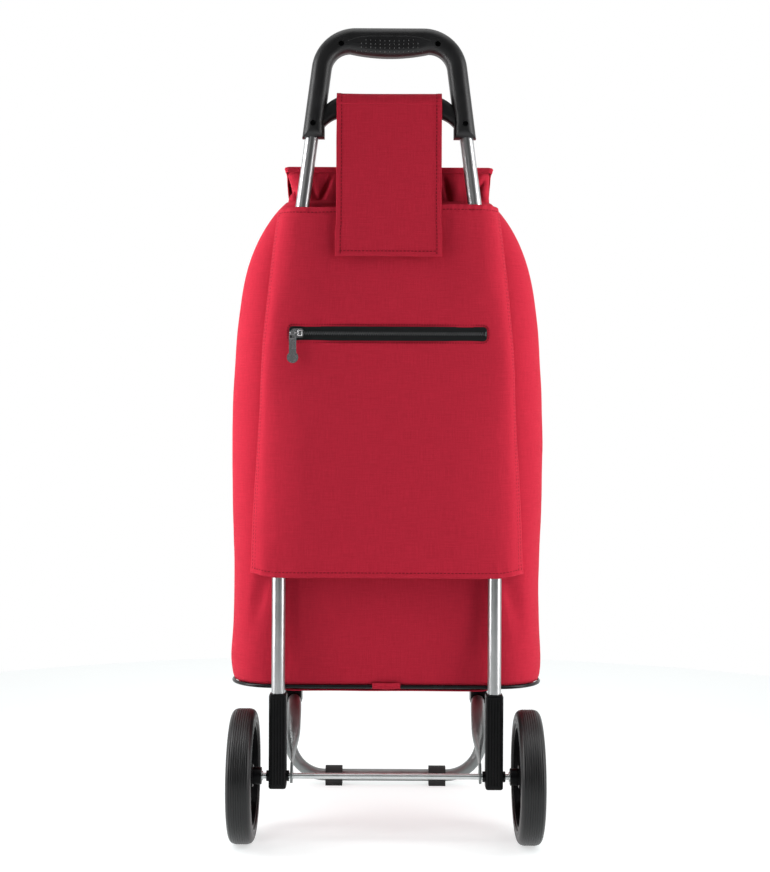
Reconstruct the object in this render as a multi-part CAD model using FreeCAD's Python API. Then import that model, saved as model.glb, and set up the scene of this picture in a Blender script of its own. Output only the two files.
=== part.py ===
"""Two-wheeled shopping trolley: tube frame, moulded handle, fixed stand, fabric bag.

Millimetres, +Z up. The origin is on the floor, at the middle of the overall box.
+X is the trolley's right seen from behind, and -Y is the rear, where the user walks.
"""
import FreeCAD
import Part
import math
import os

V = FreeCAD.Vector

# ---- overall ----
OVERALL_H = 956.0
AXLE_Y = -111.5          # the wheels reach as far behind the origin as the stand reaches ahead
AXLE_Z = 78.0            # wheel radius

# ---- frame tubes ----
TUBE_D = 16.0
TUBE_WALL = 1.2
TUBE_X = 127.0           # half spacing of the two uprights
TUBE_FOOT_Z = 68.0
TUBE_TOP_Z = 884.0       # end of the tube, inside the handle leg
BEND_Z = 552.0           # height where the uprights start to lean inwards
LEAN_DEG = 7.45
BEND_R = 200.0

# ---- handle ----
HANDLE_D = 28.0          # front to rear
HANDLE_R = 52.0          # outer corner radius
HANDLE_CORNER_X = 39.5
HANDLE_BAR_H = 28.7      # height of the grip bar at its ends
HANDLE_BELLY = 5.0       # how far the grip bar bellies down at its middle
HANDLE_LEG_W = 23.2
HANDLE_INNER_R = 22.0
HANDLE_WALL = 4.2
HANDLE_FOOT_Z = 827.0
SOCKET_W = 26.3          # width of the leg sockets
SOCKET_H = 12.0
HANDLE_ROUND = 10.5
SCREW_TOP = (56.4, 936.0)
SCREW_LOW_Z = 843.0
SCREW_HEAD_D = 6.2
SCREW_SHANK_D = 3.2
CROSS_Z = 865.5          # crossbar centre height at the middle
CROSS_H = 25.0
CROSS_D = 20.0
CROSS_ROUND = 7.0
CROSS_REACH = 77.0       # half length of the crossbar
CROSS_FLAT = 45.0        # half length of its straight middle
CROSS_TOP_R = 42.0       # bend of its upper edge down into the legs
CROSS_FOOT_R = 34.0      # bend of its lower edge

# ---- axle and its small parts ----
AXLE_D = 6.8
BORE_D = 6.96            # running fit on the axle
AXLE_END = 179.8
SPACER_D = 12.6
SPACER_L = 3.0
SLEEVE_W = 20.6
SLEEVE_FOOT_Z = 64.0
SLEEVE_TOP_Z = 175.6
SLEEVE_RIB = 0.7

# ---- wheels ----
WHEEL_R = 78.0
TYRE_IN_X = 153.0
TYRE_OUT_X = 181.5
TYRE_BORE_R = 62.0
RIM_DEPTH = 5.0
HUB_R = 13.0
BOSS_R = 10.0
BOSS_IN_X = 146.0
SPOKES = 5
CAP_R = 15.0

# ---- stand ----
STAND_TAB_X = 110.9      # flattened, drilled ends on the axle
STAND_TAB_T = 2.6
STAND_TAB_R = 8.5        # rounded tip of a flattened end
STAND_PRESS = (11.0, 63.0)   # where the flattening runs out to round tube, from the axle
STAND_PRESS_W = 22.6     # width of the flat
STAND_KNEE = (STAND_TAB_X, 62.0)
STAND_FRONT_Y = 288.0    # ahead of the axle
STAND_FRONT_X = 131.0
STAND_TOP_Z = 151.0
FOOT_D = 26.0
FOOT_L = 23.0
FOOT_X = 70.5
SADDLE_REAR_Y = 100.0
SADDLE_FRONT_Y = 232.0

# ---- bag ----
BAG_FOOT_Z = 183.0
BAG_REAR_Y = 11.0        # ahead of the axle plane
BAG_FRONT_Y = 268.0
BAG_WALL = 3.0
BAG_CORNER = 55.0
NECK_Z = 757.0
COLLAR_TOP_Z = 792.5
COLLAR_HALF_W = 121.0
COLLAR_FRONT_Y = 219.0
COLLAR_CORNER = 30.0
COLLAR_WALL = 2.5
LID_T = 3.0
LID_Z = 794.5
LID_HALF_W = 126.0
LID_REAR_Y = 19.0
LID_FRONT_Y = 226.0
LID_SKIRT = 34.0         # depth of the side and front skirt
LID_CORNER = 34.0
LID_WALL = 2.6

LID_STRAP_W = 40.0
LID_STRAP_T = 2.0
STRAP_KNEE_Z = 736.0
STRAP_FOOT_Z = 695.0
STRAP_SLOPE = 0.317

# ---- rear panel, zip and hanging tab ----
PANEL_FOOT_Z = 310.0
PANEL_TOP_Z = 750.0
PANEL_T = 1.5
PANEL_Y = -10.0          # outer face, behind the axle plane
ZIP_Z = 597.6
ZIP_HALF_W = 115.5
ZIP_H = 16.5
COIL_HALF_W = 112.9
SLIDER_X = -105.8      # slider centre with the zip shut
SLIDER_HALF_W = 6.8
PULLER_X = SLIDER_X - 5.4
TAB_W = 124.0
TAB_T = 1.2
TAB_FOOT_Z = 689.0
TAB_HINGE_DROP = 0.9     # the free end folds just below the wrap
TAB_R = 13.4             # inside radius where the tab wraps the crossbar

LEAN = math.tan(math.radians(LEAN_DEG))


# ---------------------------------------------------------------- helpers
def at(x, y, z):
    """A point given from the axle plane, as most of the trolley is set out from it."""
    return V(x, y + AXLE_Y, z)


def box(x0, x1, y0, y1, z0, z1):
    return Part.makeBox(x1 - x0, y1 - y0, z1 - z0, at(x0, y0, z0))


def rod(d, start, end):
    return Part.makeCylinder(d / 2, (end - start).Length, start, end - start)


def across(d, x0, x1, y=0.0, z=AXLE_Z):
    """A round bar along X."""
    return rod(d, at(x0, y, z), at(x1, y, z))


def ring(d_out, d_in, x0, x1):
    """A ring on the axle line."""
    return across(d_out, x0, x1).cut(across(d_in, x0 - 1, x1 + 1))


def mirrored(shape):
    return shape.mirror(V(0, 0, 0), V(1, 0, 0))


def both_sides(shape):
    return Part.makeCompound([shape, mirrored(shape)])


def bent_path(points, radii):
    """Straight runs through the points, joined by tangent arcs of the given radii."""
    edges = []
    last = points[0]
    for before, corner, after, radius in zip(points, points[1:], points[2:], radii):
        into = (before - corner).normalize()
        out = (after - corner).normalize()
        half = into.getAngle(out) / 2
        reach = radius / math.tan(half)
        start = corner + into * reach
        end = corner + out * reach
        middle_way = (into + out).normalize()
        middle = corner + middle_way * (radius / math.sin(half) - radius)
        edges.append(Part.makeLine(last, start))
        edges.append(Part.Arc(start, middle, end).toShape())
        last = end
    edges.append(Part.makeLine(last, points[-1]))
    return Part.Wire(edges)


def swept(path, diameter):
    """A round bar along a path."""
    start = path.Edges[0]
    circle = Part.makeCircle(diameter / 2, start.valueAt(start.FirstParameter),
                             start.tangentAt(start.FirstParameter))
    return path.makePipeShell([Part.Wire([circle])], True, False)


def rounded_rectangle(half_w, y0, y1, radius, z):
    """A horizontal rounded rectangle, symmetric about X = 0."""
    k = math.sqrt(0.5)
    edges = []
    corners = [(half_w - radius, y0 + radius, 1, -1), (half_w - radius, y1 - radius, 1, 1),
               (radius - half_w, y1 - radius, -1, 1), (radius - half_w, y0 + radius, -1, -1)]
    arcs = []
    for i, (cx, cy, sx, sy) in enumerate(corners):
        a = at(cx + sx * radius, cy, z)
        b = at(cx, cy + sy * radius, z)
        if i % 2 == 0:
            a, b = b, a
        arcs.append((a, at(cx + sx * radius * k, cy + sy * radius * k, z), b))
    for i, (a, m, b) in enumerate(arcs):
        edges.append(Part.Arc(a, m, b).toShape())
        edges.append(Part.makeLine(b, arcs[(i + 1) % 4][0]))
    return Part.Wire(edges)


def prism(outline, y0, y1):
    """A flat outline in the XZ plane, given as a wire at y = 0, thickened from y0 to y1."""
    face = Part.Face(outline)
    face.translate(V(0, y0, 0))
    return face.extrude(V(0, y1 - y0, 0))


def polygon_wire(points):
    return Part.makePolygon(points + [points[0]])


def tube_x(z):
    """Half spacing of the uprights at a height."""
    return TUBE_X - max(0.0, z - BEND_Z) * LEAN


# ---------------------------------------------------------------- frame
def frame_tube():
    top = at(tube_x(TUBE_TOP_Z), 0, TUBE_TOP_Z)
    points = [at(TUBE_X, 0, TUBE_FOOT_Z), at(TUBE_X, 0, BEND_Z), top]
    path = bent_path(points, [BEND_R])
    tube = swept(path, TUBE_D).cut(swept(path, TUBE_D - 2 * TUBE_WALL))
    tube = tube.cut(across(BORE_D, TUBE_X - TUBE_D, TUBE_X + TUBE_D))
    screw_x = tube_x(SCREW_LOW_Z)
    hole = rod(SCREW_SHANK_D + 0.4, at(screw_x, -TUBE_D, SCREW_LOW_Z), at(screw_x, TUBE_D, SCREW_LOW_Z))
    return tube.cut(hole)


def leg_sleeve():
    """Plastic boot over the foot of an upright, with shallow ribs down its faces."""
    half = SLEEVE_W / 2
    body = box(TUBE_X - half, TUBE_X + half, -half, half, SLEEVE_FOOT_Z, SLEEVE_TOP_Z)
    body = body.makeFillet(3.0, body.Edges)
    count = 5
    pitch = SLEEVE_W / (count + 1)
    for i in range(count):
        x = TUBE_X - half + pitch * (i + 1)
        for y in (-half, half):
            groove = rod(2 * SLEEVE_RIB, at(x, y, SLEEVE_FOOT_Z + 5), at(x, y, SLEEVE_TOP_Z - 5))
            body = body.cut(groove)
    bore = rod(TUBE_D + 0.1, at(TUBE_X, 0, TUBE_FOOT_Z - 0.5), at(TUBE_X, 0, SLEEVE_TOP_Z + 1))
    return body.cut(bore).cut(across(BORE_D, TUBE_X - SLEEVE_W, TUBE_X + SLEEVE_W))


# ---------------------------------------------------------------- handle
def leg_edge(z):
    """Outer edge of a handle leg at a height."""
    angle = math.radians(LEAN_DEG)
    touch_x = HANDLE_CORNER_X + HANDLE_R * math.cos(angle)
    touch_z = OVERALL_H - HANDLE_R + HANDLE_R * math.sin(angle)
    return touch_x + (touch_z - z) * LEAN


def handle_outline(inset, foot_z):
    """The U of the handle as a closed outline at y = 0, shrunk by the inset."""
    angle = math.radians(LEAN_DEG)
    cos, sin = math.cos(angle), math.sin(angle)
    centre_z = OVERALL_H - HANDLE_R
    radius = HANDLE_R - inset
    mid = (math.radians(90) + angle) / 2
    bar_z = OVERALL_H - HANDLE_BAR_H + inset
    inner_r = HANDLE_INNER_R + inset
    inner_z = OVERALL_H - HANDLE_BAR_H - HANDLE_INNER_R
    inner_x = leg_edge(inner_z + HANDLE_INNER_R * sin) - HANDLE_LEG_W / cos - HANDLE_INNER_R * cos
    socket_z = foot_z + SOCKET_H

    def outer(z):
        return leg_edge(z) - inset / cos

    def inner(z):
        return leg_edge(z) - HANDLE_LEG_W / cos + inset / cos

    socket_x = leg_edge(HANDLE_FOOT_Z) - SOCKET_W + inset
    touch = (HANDLE_CORNER_X + radius * cos, centre_z + radius * sin)
    corner_mid = (HANDLE_CORNER_X + radius * math.cos(mid), centre_z + radius * math.sin(mid))
    inner_touch = (inner_x + inner_r * cos, inner_z + inner_r * sin)
    inner_mid = (inner_x + inner_r * math.cos(mid), inner_z + inner_r * math.sin(mid))
    edges = []

    def line(a, b):
        edges.append(Part.makeLine(at(a[0], 0, a[1]), at(b[0], 0, b[1])))

    def arc(a, m, b):
        edges.append(Part.Arc(at(a[0], 0, a[1]), at(m[0], 0, m[1]), at(b[0], 0, b[1])).toShape())

    def flip(p):
        return (-p[0], p[1])

    foot_out = (outer(foot_z), foot_z)
    foot_in = (socket_x, foot_z)
    step_low = (socket_x, socket_z)
    step_high = (inner(socket_z + 6), socket_z + 6)
    bar_end = (inner_x, bar_z)
    bar_low = (0, bar_z - HANDLE_BELLY)
    corner_top = (HANDLE_CORNER_X, OVERALL_H - inset)
    line(foot_out, touch)
    arc(touch, corner_mid, corner_top)
    line(corner_top, flip(corner_top))
    arc(flip(corner_top), flip(corner_mid), flip(touch))
    line(flip(touch), flip(foot_out))
    line(flip(foot_out), flip(foot_in))
    line(flip(foot_in), flip(step_low))
    line(flip(step_low), flip(step_high))
    line(flip(step_high), flip(inner_touch))
    arc(flip(inner_touch), flip(inner_mid), flip(bar_end))
    arc(flip(bar_end), bar_low, bar_end)
    arc(bar_end, inner_mid, inner_touch)
    line(inner_touch, step_high)
    line(step_high, step_low)
    line(step_low, foot_in)
    line(foot_in, foot_out)
    return Part.Wire(edges)


def screw_places():
    low_x = tube_x(SCREW_LOW_Z)
    return [(SCREW_TOP[0], SCREW_TOP[1]), (-SCREW_TOP[0], SCREW_TOP[1]),
            (low_x, SCREW_LOW_Z), (-low_x, SCREW_LOW_Z)]


def crossbar(grow=0.0):
    """Bar between the handle legs: straight in the middle, bent down at its ends, with rounded long edges."""
    reach = CROSS_REACH + grow
    upper_z = CROSS_Z + CROSS_H / 2 + grow
    lower_z = CROSS_Z - CROSS_H / 2 - grow

    def bend(z, flat, radius):
        """The bent end of an edge: a point half way along it and its end."""
        end = math.asin((reach - flat) / radius)
        return [(flat + radius * math.sin(a), z - radius * (1 - math.cos(a))) for a in (end / 2, end)]

    def edge(z, flat, radius):
        (mid_x, mid_z), (end_x, end_z) = bend(z, flat, radius)
        return [Part.Arc(at(-end_x, 0, end_z), at(-mid_x, 0, mid_z), at(-flat, 0, z)).toShape(),
                Part.makeLine(at(-flat, 0, z), at(flat, 0, z)),
                Part.Arc(at(flat, 0, z), at(mid_x, 0, mid_z), at(end_x, 0, end_z)).toShape()], end_z

    upper, upper_end = edge(upper_z, CROSS_FLAT, CROSS_TOP_R + grow)
    lower, lower_end = edge(lower_z, CROSS_FLAT + 5, CROSS_FOOT_R - grow)
    ends = [Part.makeLine(at(x, 0, upper_end), at(x, 0, lower_end)) for x in (-reach, reach)]
    half = CROSS_D / 2 + grow
    bar = prism(Part.Wire(Part.__sortEdges__(upper + lower + ends)), -half, half)
    long_edges = [e for e in bar.Edges if e.BoundBox.YLength < 0.01 and e.BoundBox.XLength > 1]
    return bar.makeFillet(CROSS_ROUND, long_edges)


def handle_shell(side):
    """One half of the handle: side -1 is the rear shell, +1 the front shell."""
    depth = HANDLE_D / 2 * side
    outline = handle_outline(0.0, HANDLE_FOOT_Z)
    shell = prism(outline, min(0, depth), max(0, depth))
    face_edges = [e for e in shell.Edges
                  if abs(e.BoundBox.YMin - AXLE_Y - depth) < 0.01
                  and abs(e.BoundBox.YMax - AXLE_Y - depth) < 0.01]
    shell = shell.makeFillet(HANDLE_ROUND, face_edges)
    cavity_depth = depth - HANDLE_WALL * side
    cavity = prism(handle_outline(HANDLE_WALL, HANDLE_FOOT_Z + 4), min(0, cavity_depth), max(0, cavity_depth))
    shell = shell.cut(cavity)
    for x, z in screw_places():
        post = rod(9.0, at(x, 0, z), at(x, depth - side * 1.5, z))
        if z > SCREW_LOW_Z + 1:
            shell = shell.fuse(post.common(prism(outline, min(0, depth), max(0, depth))))
    for x, z in screw_places():
        if side < 0:
            shell = shell.cut(rod(SCREW_SHANK_D + 0.3, at(x, 1, z), at(x, -HANDLE_D, z)))
            shell = shell.cut(rod(SCREW_HEAD_D + 0.5, at(x, -HANDLE_D / 2 + 4.5, z), at(x, -HANDLE_D, z)))
        else:
            shell = shell.cut(rod(SCREW_SHANK_D, at(x, -1, z), at(x, 9.0, z)))
    for mirror in (1, -1):
        low = at(mirror * tube_x(HANDLE_FOOT_Z - 5), 0, HANDLE_FOOT_Z - 5)
        high = at(mirror * tube_x(TUBE_TOP_Z + 1), 0, TUBE_TOP_Z + 1)
        shell = shell.cut(rod(TUBE_D + 0.1, low, high))
    return shell.cut(crossbar(0.05))


def handle_screws():
    """Four pan-head screws with a cross recess, entered from the rear."""
    screws = []
    for x, z in screw_places():
        seat = -HANDLE_D / 2 + 4.5
        head = rod(SCREW_HEAD_D, at(x, seat, z), at(x, seat - 2.0, z))
        shank = rod(SCREW_SHANK_D - 0.1, at(x, seat, z), at(x, 8.0, z))
        recess = box(x - 1.7, x + 1.7, seat - 3, seat - 1.0, z - 0.35, z + 0.35)
        recess = recess.fuse(box(x - 0.35, x + 0.35, seat - 3, seat - 1.0, z - 1.7, z + 1.7))
        screws.append(head.fuse(shank).cut(recess))
    return Part.makeCompound(screws)


# ---------------------------------------------------------------- axle
def axle_spacers():
    """Four plastic collars, one each side of each leg sleeve."""
    out = TUBE_X + SLEEVE_W / 2
    inner = TUBE_X - SLEEVE_W / 2
    pair = [ring(SPACER_D, BORE_D, out + 0.05, out + SPACER_L),
            ring(SPACER_D, BORE_D, inner - SPACER_L, inner - 0.05)]
    return Part.makeCompound(pair + [mirrored(s) for s in pair])


def axle_washers():
    """A steel washer on the inner side of each wheel hub."""
    return both_sides(ring(11.0, BORE_D, BOSS_IN_X - 1.6, BOSS_IN_X - 0.4))


def axle_push_nuts():
    """Push-on caps that keep the wheels on the axle, inside the hub caps."""
    return both_sides(ring(12.0, AXLE_D + 0.02, 177.5, 179.5))


# ---------------------------------------------------------------- wheels
def tyre():
    """Tyre with rounded shoulders and shallow grooves round its tread, turned about the axle."""
    x0, x1 = TYRE_IN_X, TYRE_OUT_X
    shoulder = 7.0
    k = shoulder * (1 - math.sqrt(0.5))
    wall = [(x0, TYRE_BORE_R), (x0, WHEEL_R - shoulder)]
    edges = [Part.makeLine(at(wall[0][0], 0, AXLE_Z + wall[0][1]), at(wall[1][0], 0, AXLE_Z + wall[1][1])),
             Part.Arc(at(x0, 0, AXLE_Z + WHEEL_R - shoulder), at(x0 + k, 0, AXLE_Z + WHEEL_R - k),
                      at(x0 + shoulder, 0, AXLE_Z + WHEEL_R)).toShape(),
             Part.makeLine(at(x0 + shoulder, 0, AXLE_Z + WHEEL_R), at(x1 - shoulder, 0, AXLE_Z + WHEEL_R)),
             Part.Arc(at(x1 - shoulder, 0, AXLE_Z + WHEEL_R), at(x1 - k, 0, AXLE_Z + WHEEL_R - k),
                      at(x1, 0, AXLE_Z + WHEEL_R - shoulder)).toShape(),
             Part.makeLine(at(x1, 0, AXLE_Z + WHEEL_R - shoulder), at(x1, 0, AXLE_Z + TYRE_BORE_R)),
             Part.makeLine(at(x1, 0, AXLE_Z + TYRE_BORE_R), at(x0, 0, AXLE_Z + TYRE_BORE_R))]
    solid = Part.Face(Part.Wire(edges)).revolve(at(0, 0, AXLE_Z), V(1, 0, 0), 360)
    grooves = 4
    pitch = (x1 - x0 - 2 * shoulder) / (grooves - 1)
    for i in range(grooves):
        x = x0 + shoulder + pitch * i
        solid = solid.cut(ring(2 * WHEEL_R + 2, 2 * WHEEL_R - 1.2, x - 0.5, x + 0.5))
    return solid


def wheel_rim():
    """Moulded wheel: rim, spokes and a hub whose boss reaches in towards the leg."""
    rim = ring(2 * TYRE_BORE_R - 0.02, 2 * (TYRE_BORE_R - RIM_DEPTH), TYRE_IN_X + 2, TYRE_OUT_X - 2)
    web_in = TYRE_IN_X + 9
    web_out = TYRE_OUT_X - 7
    hub = across(2 * HUB_R, TYRE_IN_X + 3, TYRE_OUT_X - 4)
    boss = across(2 * BOSS_R, BOSS_IN_X, TYRE_IN_X + 4)
    wheel = rim.fuse([hub, boss])
    inner_r = HUB_R - 2
    outer_r = TYRE_BORE_R - RIM_DEPTH + 1
    for i in range(SPOKES):
        angle = 360.0 / SPOKES * i
        points = [at(web_in, -8.0, AXLE_Z + inner_r), at(web_in, 8.0, AXLE_Z + inner_r),
                  at(web_in, 11.5, AXLE_Z + outer_r), at(web_in, -11.5, AXLE_Z + outer_r)]
        spoke = Part.Face(polygon_wire(points)).extrude(V(web_out - web_in, 0, 0))
        spoke.rotate(at(0, 0, AXLE_Z), V(1, 0, 0), angle)
        wheel = wheel.fuse(spoke)
    recess = across(18.0, TYRE_OUT_X - 6.5, TYRE_OUT_X)
    return wheel.cut(recess).cut(across(BORE_D, BOSS_IN_X - 1, TYRE_OUT_X + 1)).removeSplitter()


def hub_cap():
    """Round domed cap over the axle end."""
    outer = TYRE_OUT_X + 0.5
    disc = across(2 * CAP_R, TYRE_OUT_X - 3.9, outer)
    disc = disc.makeFillet(2.0, [e for e in disc.Edges if abs(e.BoundBox.XMin - outer) < 0.01])
    return disc.cut(across(15.0, TYRE_OUT_X - 5, outer - 1.2))


# ---------------------------------------------------------------- stand
def stand_points():
    """The right half of the stand's route, from the axle to the middle of the floor bar."""
    floor = FOOT_D / 2
    return [at(STAND_TAB_X, 0, AXLE_Z), at(*STAND_KNEE, STAND_TOP_Z),
            at(STAND_FRONT_X, STAND_FRONT_Y, STAND_TOP_Z),
            at(STAND_FRONT_X, STAND_FRONT_Y, floor), at(0, STAND_FRONT_Y, floor)]


def pressed_end():
    """One end of the stand tube, pressed flat from round, with a drilled tip on the axle."""
    axle, knee = stand_points()[:2]
    way = (knee - axle).normalize()
    wide = V(1, 0, 0).cross(way)
    first, last = STAND_PRESS

    def section(share, wall):
        """An oval across the tube: flat at share 0, round at share 1."""
        swell = share * share * (3 - 2 * share)
        tall = STAND_PRESS_W / 2 + (TUBE_D - STAND_PRESS_W) / 2 * swell - wall
        thick = STAND_TAB_T / 2 + (TUBE_D - STAND_TAB_T) / 2 * swell - wall
        centre = axle + way * (first + (last - first) * share)
        return Part.Wire([Part.Ellipse(centre + wide * tall, centre + V(thick, 0, 0), centre).toShape()])

    outer = Part.makeLoft([section(k / 5, 0.0) for k in range(6)], True, False)
    inner = Part.makeLoft([section(k / 5, TUBE_WALL) for k in range(2, 6)], True, False)
    start = axle + way * (first + 0.5)
    half = STAND_TAB_T / 2
    sides = [axle + wide * STAND_TAB_R, axle - wide * STAND_TAB_R,
             start - wide * (STAND_PRESS_W / 2 - 0.4), start + wide * (STAND_PRESS_W / 2 - 0.4)]
    plate = Part.Face(polygon_wire(sides))
    plate.translate(V(-half, 0, 0))
    plate = plate.extrude(V(STAND_TAB_T, 0, 0))
    tip = across(2 * STAND_TAB_R, STAND_TAB_X - half, STAND_TAB_X + half)
    return outer.cut(inner).fuse([plate, tip]).cut(across(BORE_D, 100, 120))


def stand_tube():
    """One bent tube: two flattened, drilled ends on the axle and a floor bar in front."""
    right = stand_points()
    right[0] = right[0] + (right[1] - right[0]).normalize() * STAND_PRESS[1]
    left = [V(-p.x, p.y, p.z) for p in right[:-1]]
    points = right[:-1] + left[::-1]
    radii = [45.0, 40.0, 48.5, 48.5, 40.0, 45.0]
    tube = swept(bent_path(points, radii), TUBE_D)
    bore = swept(bent_path(points, radii), TUBE_D - 2 * TUBE_WALL)
    end = pressed_end()
    return tube.cut(bore).fuse([end, mirrored(end)])


def foot(x):
    """Rubber block round the floor bar, with a flat sole."""
    half = FOOT_L / 2
    block = across(FOOT_D, x - half, x + half, STAND_FRONT_Y, FOOT_D / 2)
    sole = box(x - half, x + half, STAND_FRONT_Y - 9, STAND_FRONT_Y + 9, 0, FOOT_D / 2)
    block = block.fuse(sole).removeSplitter()
    return block.cut(across(TUBE_D + 0.1, x - FOOT_L, x + FOOT_L, STAND_FRONT_Y, FOOT_D / 2))


def saddle_x(y):
    """Half spacing of the stand's side runs, which splay towards the front."""
    share = (y - STAND_KNEE[1]) / (STAND_FRONT_Y - STAND_KNEE[1])
    return STAND_KNEE[0] + (STAND_FRONT_X - STAND_KNEE[0]) * share


def saddle(y):
    """Plastic block on the stand tube that carries the base of the bag."""
    x = saddle_x(y)
    block = box(x - 9.8, x + 9.8, y - 14, y + 14, STAND_TOP_Z - 2, BAG_FOOT_Z - 4.3)
    block = block.makeFillet(2.0, [e for e in block.Edges if e.BoundBox.ZLength > 20])
    start = stand_points()[1]
    way = (stand_points()[2] - start).normalize()
    groove = rod(TUBE_D + 0.1, start - way * 30, stand_points()[2] + way * 30)
    hole = rod(4.2, at(x, y, STAND_TOP_Z), at(x, y, BAG_FOOT_Z))
    return block.cut(groove).cut(hole)


def saddle_screws():
    """Four screws that clamp the base board down onto the saddles, heads inside the bag."""
    screws = []
    for y in (SADDLE_REAR_Y, SADDLE_FRONT_Y):
        x = saddle_x(y)
        head = rod(9.0, at(x, y, BAG_FOOT_Z + 6.1), at(x, y, BAG_FOOT_Z + 8.6))
        shank = rod(4.0, at(x, y, STAND_TOP_Z + 12), at(x, y, BAG_FOOT_Z + 6.1))
        screws.append(head.fuse(shank))
    return Part.makeCompound(screws + [mirrored(s) for s in screws])


# ---------------------------------------------------------------- bag
def bag_sections():
    """Height, half width, rear, front and corner radius: full below, rounded at the shoulders."""
    rear = BAG_REAR_Y
    front = BAG_FRONT_Y
    full = BAG_CORNER
    return [(BAG_FOOT_Z, 186.0, rear + 2, front - 2, full), (240.0, 187.2, rear, front, full),
            (420.0, 188.8, rear, front, full), (545.0, 187.3, rear, front - 2, full),
            (640.0, 179.0, rear, front - 9, full - 5), (692.0, 166.8, rear, front - 18, full - 11),
            (730.0, 148.0, rear, front - 30, full - 19), (NECK_Z, 123.5, rear + 2, front - 46, full - 29)]


def bag_loft(inset, foot_z, top_z):
    wires = []
    for z, half_w, rear, front, corner in bag_sections():
        height = min(max(z, foot_z), top_z)
        wires.append(rounded_rectangle(half_w - inset, rear + inset, front - inset, corner - inset, height))
    return Part.makeLoft(wires, True, False)


def screw_holes(z0, z1):
    """Clearance holes for the saddle screws between two heights."""
    holes = []
    for y in (SADDLE_REAR_Y, SADDLE_FRONT_Y):
        hole = rod(4.4, at(saddle_x(y), y, z0), at(saddle_x(y), y, z1))
        holes += [hole, mirrored(hole)]
    return holes


def bag_body():
    """Fabric body: closed below, open at the neck."""
    outer = bag_loft(0.0, BAG_FOOT_Z, NECK_Z)
    inner = bag_loft(BAG_WALL, BAG_FOOT_Z + BAG_WALL, NECK_Z + 1)
    return outer.cut(inner).cut(Part.makeCompound(screw_holes(BAG_FOOT_Z - 2, BAG_FOOT_Z + 6)))


def bag_collar():
    """Gathered collar that rises from the neck under the lid."""
    def section(inset, z):
        return rounded_rectangle(COLLAR_HALF_W - inset, LID_REAR_Y + inset, COLLAR_FRONT_Y - inset,
                                 COLLAR_CORNER - inset, z)
    wall = COLLAR_WALL
    outer = Part.makeLoft([section(0, NECK_Z + 0.05), section(0, COLLAR_TOP_Z)], True, True)
    inner = Part.makeLoft([section(wall, NECK_Z - 1), section(wall, COLLAR_TOP_Z + 1)], True, True)
    return outer.cut(inner)


def bag_bottom():
    """Panel sewn under the body, with holes for the saddle screws."""
    _, half_w, rear, front, corner = bag_sections()[0]
    inset = 4.0
    foot = rounded_rectangle(half_w - inset, rear + inset, front - inset, corner - inset, BAG_FOOT_Z - 4.2)
    plate = Part.Face(foot).extrude(V(0, 0, 4.1))
    return plate.cut(Part.makeCompound(screw_holes(BAG_FOOT_Z - 6, BAG_FOOT_Z + 2)))


def bottom_piping():
    """Glossy cord piping sewn round the foot of the bag."""
    _, half_w, rear, front, _ = bag_sections()[0]
    ring_path = rounded_rectangle(half_w - 0.4, rear + 0.4, front - 0.4, BAG_CORNER - 0.4, BAG_FOOT_Z - 2.2)
    start = ring_path.Edges[0]
    circle = Part.makeCircle(2.1, start.valueAt(start.FirstParameter), start.tangentAt(start.FirstParameter))
    return ring_path.makePipeShell([Part.Wire([circle])], True, False)


def bottom_tab():
    """Short fabric loop folded over the piping at the middle of the rear edge."""
    rear = BAG_REAR_Y + 2
    tab = box(-17, 17, rear - 4.0, rear - 2.4, BAG_FOOT_Z - 4.6, BAG_FOOT_Z + 3)
    return tab.makeFillet(0.6, [e for e in tab.Edges if e.Length > 20])


def base_board():
    """Stiff board lying in the bottom of the bag."""
    _, half_w, rear, front, _ = bag_sections()[0]
    gap = BAG_WALL + 3
    z = BAG_FOOT_Z + BAG_WALL + 0.1
    board = Part.Face(rounded_rectangle(half_w - gap, rear + gap, front - gap, BAG_CORNER - gap, z))
    board = board.extrude(V(0, 0, 2.8))
    return board.cut(Part.makeCompound(screw_holes(z - 1, z + 4)))


# ---------------------------------------------------------------- lid
def lid():
    """Flat lid with a skirt down its sides and front, hinged along its rear edge."""
    top = LID_Z + LID_T
    outer = box(-LID_HALF_W, LID_HALF_W, LID_REAR_Y + 0.5, LID_FRONT_Y, top - LID_SKIRT, top)
    upright = [e for e in outer.Edges
               if e.BoundBox.ZLength > LID_SKIRT - 1 and e.BoundBox.YMin > AXLE_Y + LID_FRONT_Y - 1]
    outer = outer.makeFillet(LID_CORNER, upright)
    inner_half = LID_HALF_W - LID_WALL
    inner = box(-inner_half, inner_half, LID_REAR_Y - 5, LID_FRONT_Y - LID_WALL, 0, LID_Z)
    inner_upright = [e for e in inner.Edges
                     if e.BoundBox.ZLength > LID_SKIRT and e.BoundBox.YMin > AXLE_Y + LID_FRONT_Y - 4]
    inner = inner.makeFillet(LID_CORNER - LID_WALL, inner_upright)
    return outer.cut(inner)


def strap_y(z):
    """Inner face of the closing strap where it slopes down the front of the bag."""
    return LID_FRONT_Y + 17.3 + (STRAP_KNEE_Z - z) * STRAP_SLOPE


def strap_prism(half, profile):
    """A profile of (y, z) points at x = -half, thickened to x = half."""
    return Part.Face(polygon_wire([at(-half, y, z) for y, z in profile])).extrude(V(2 * half, 0, 0))


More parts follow.
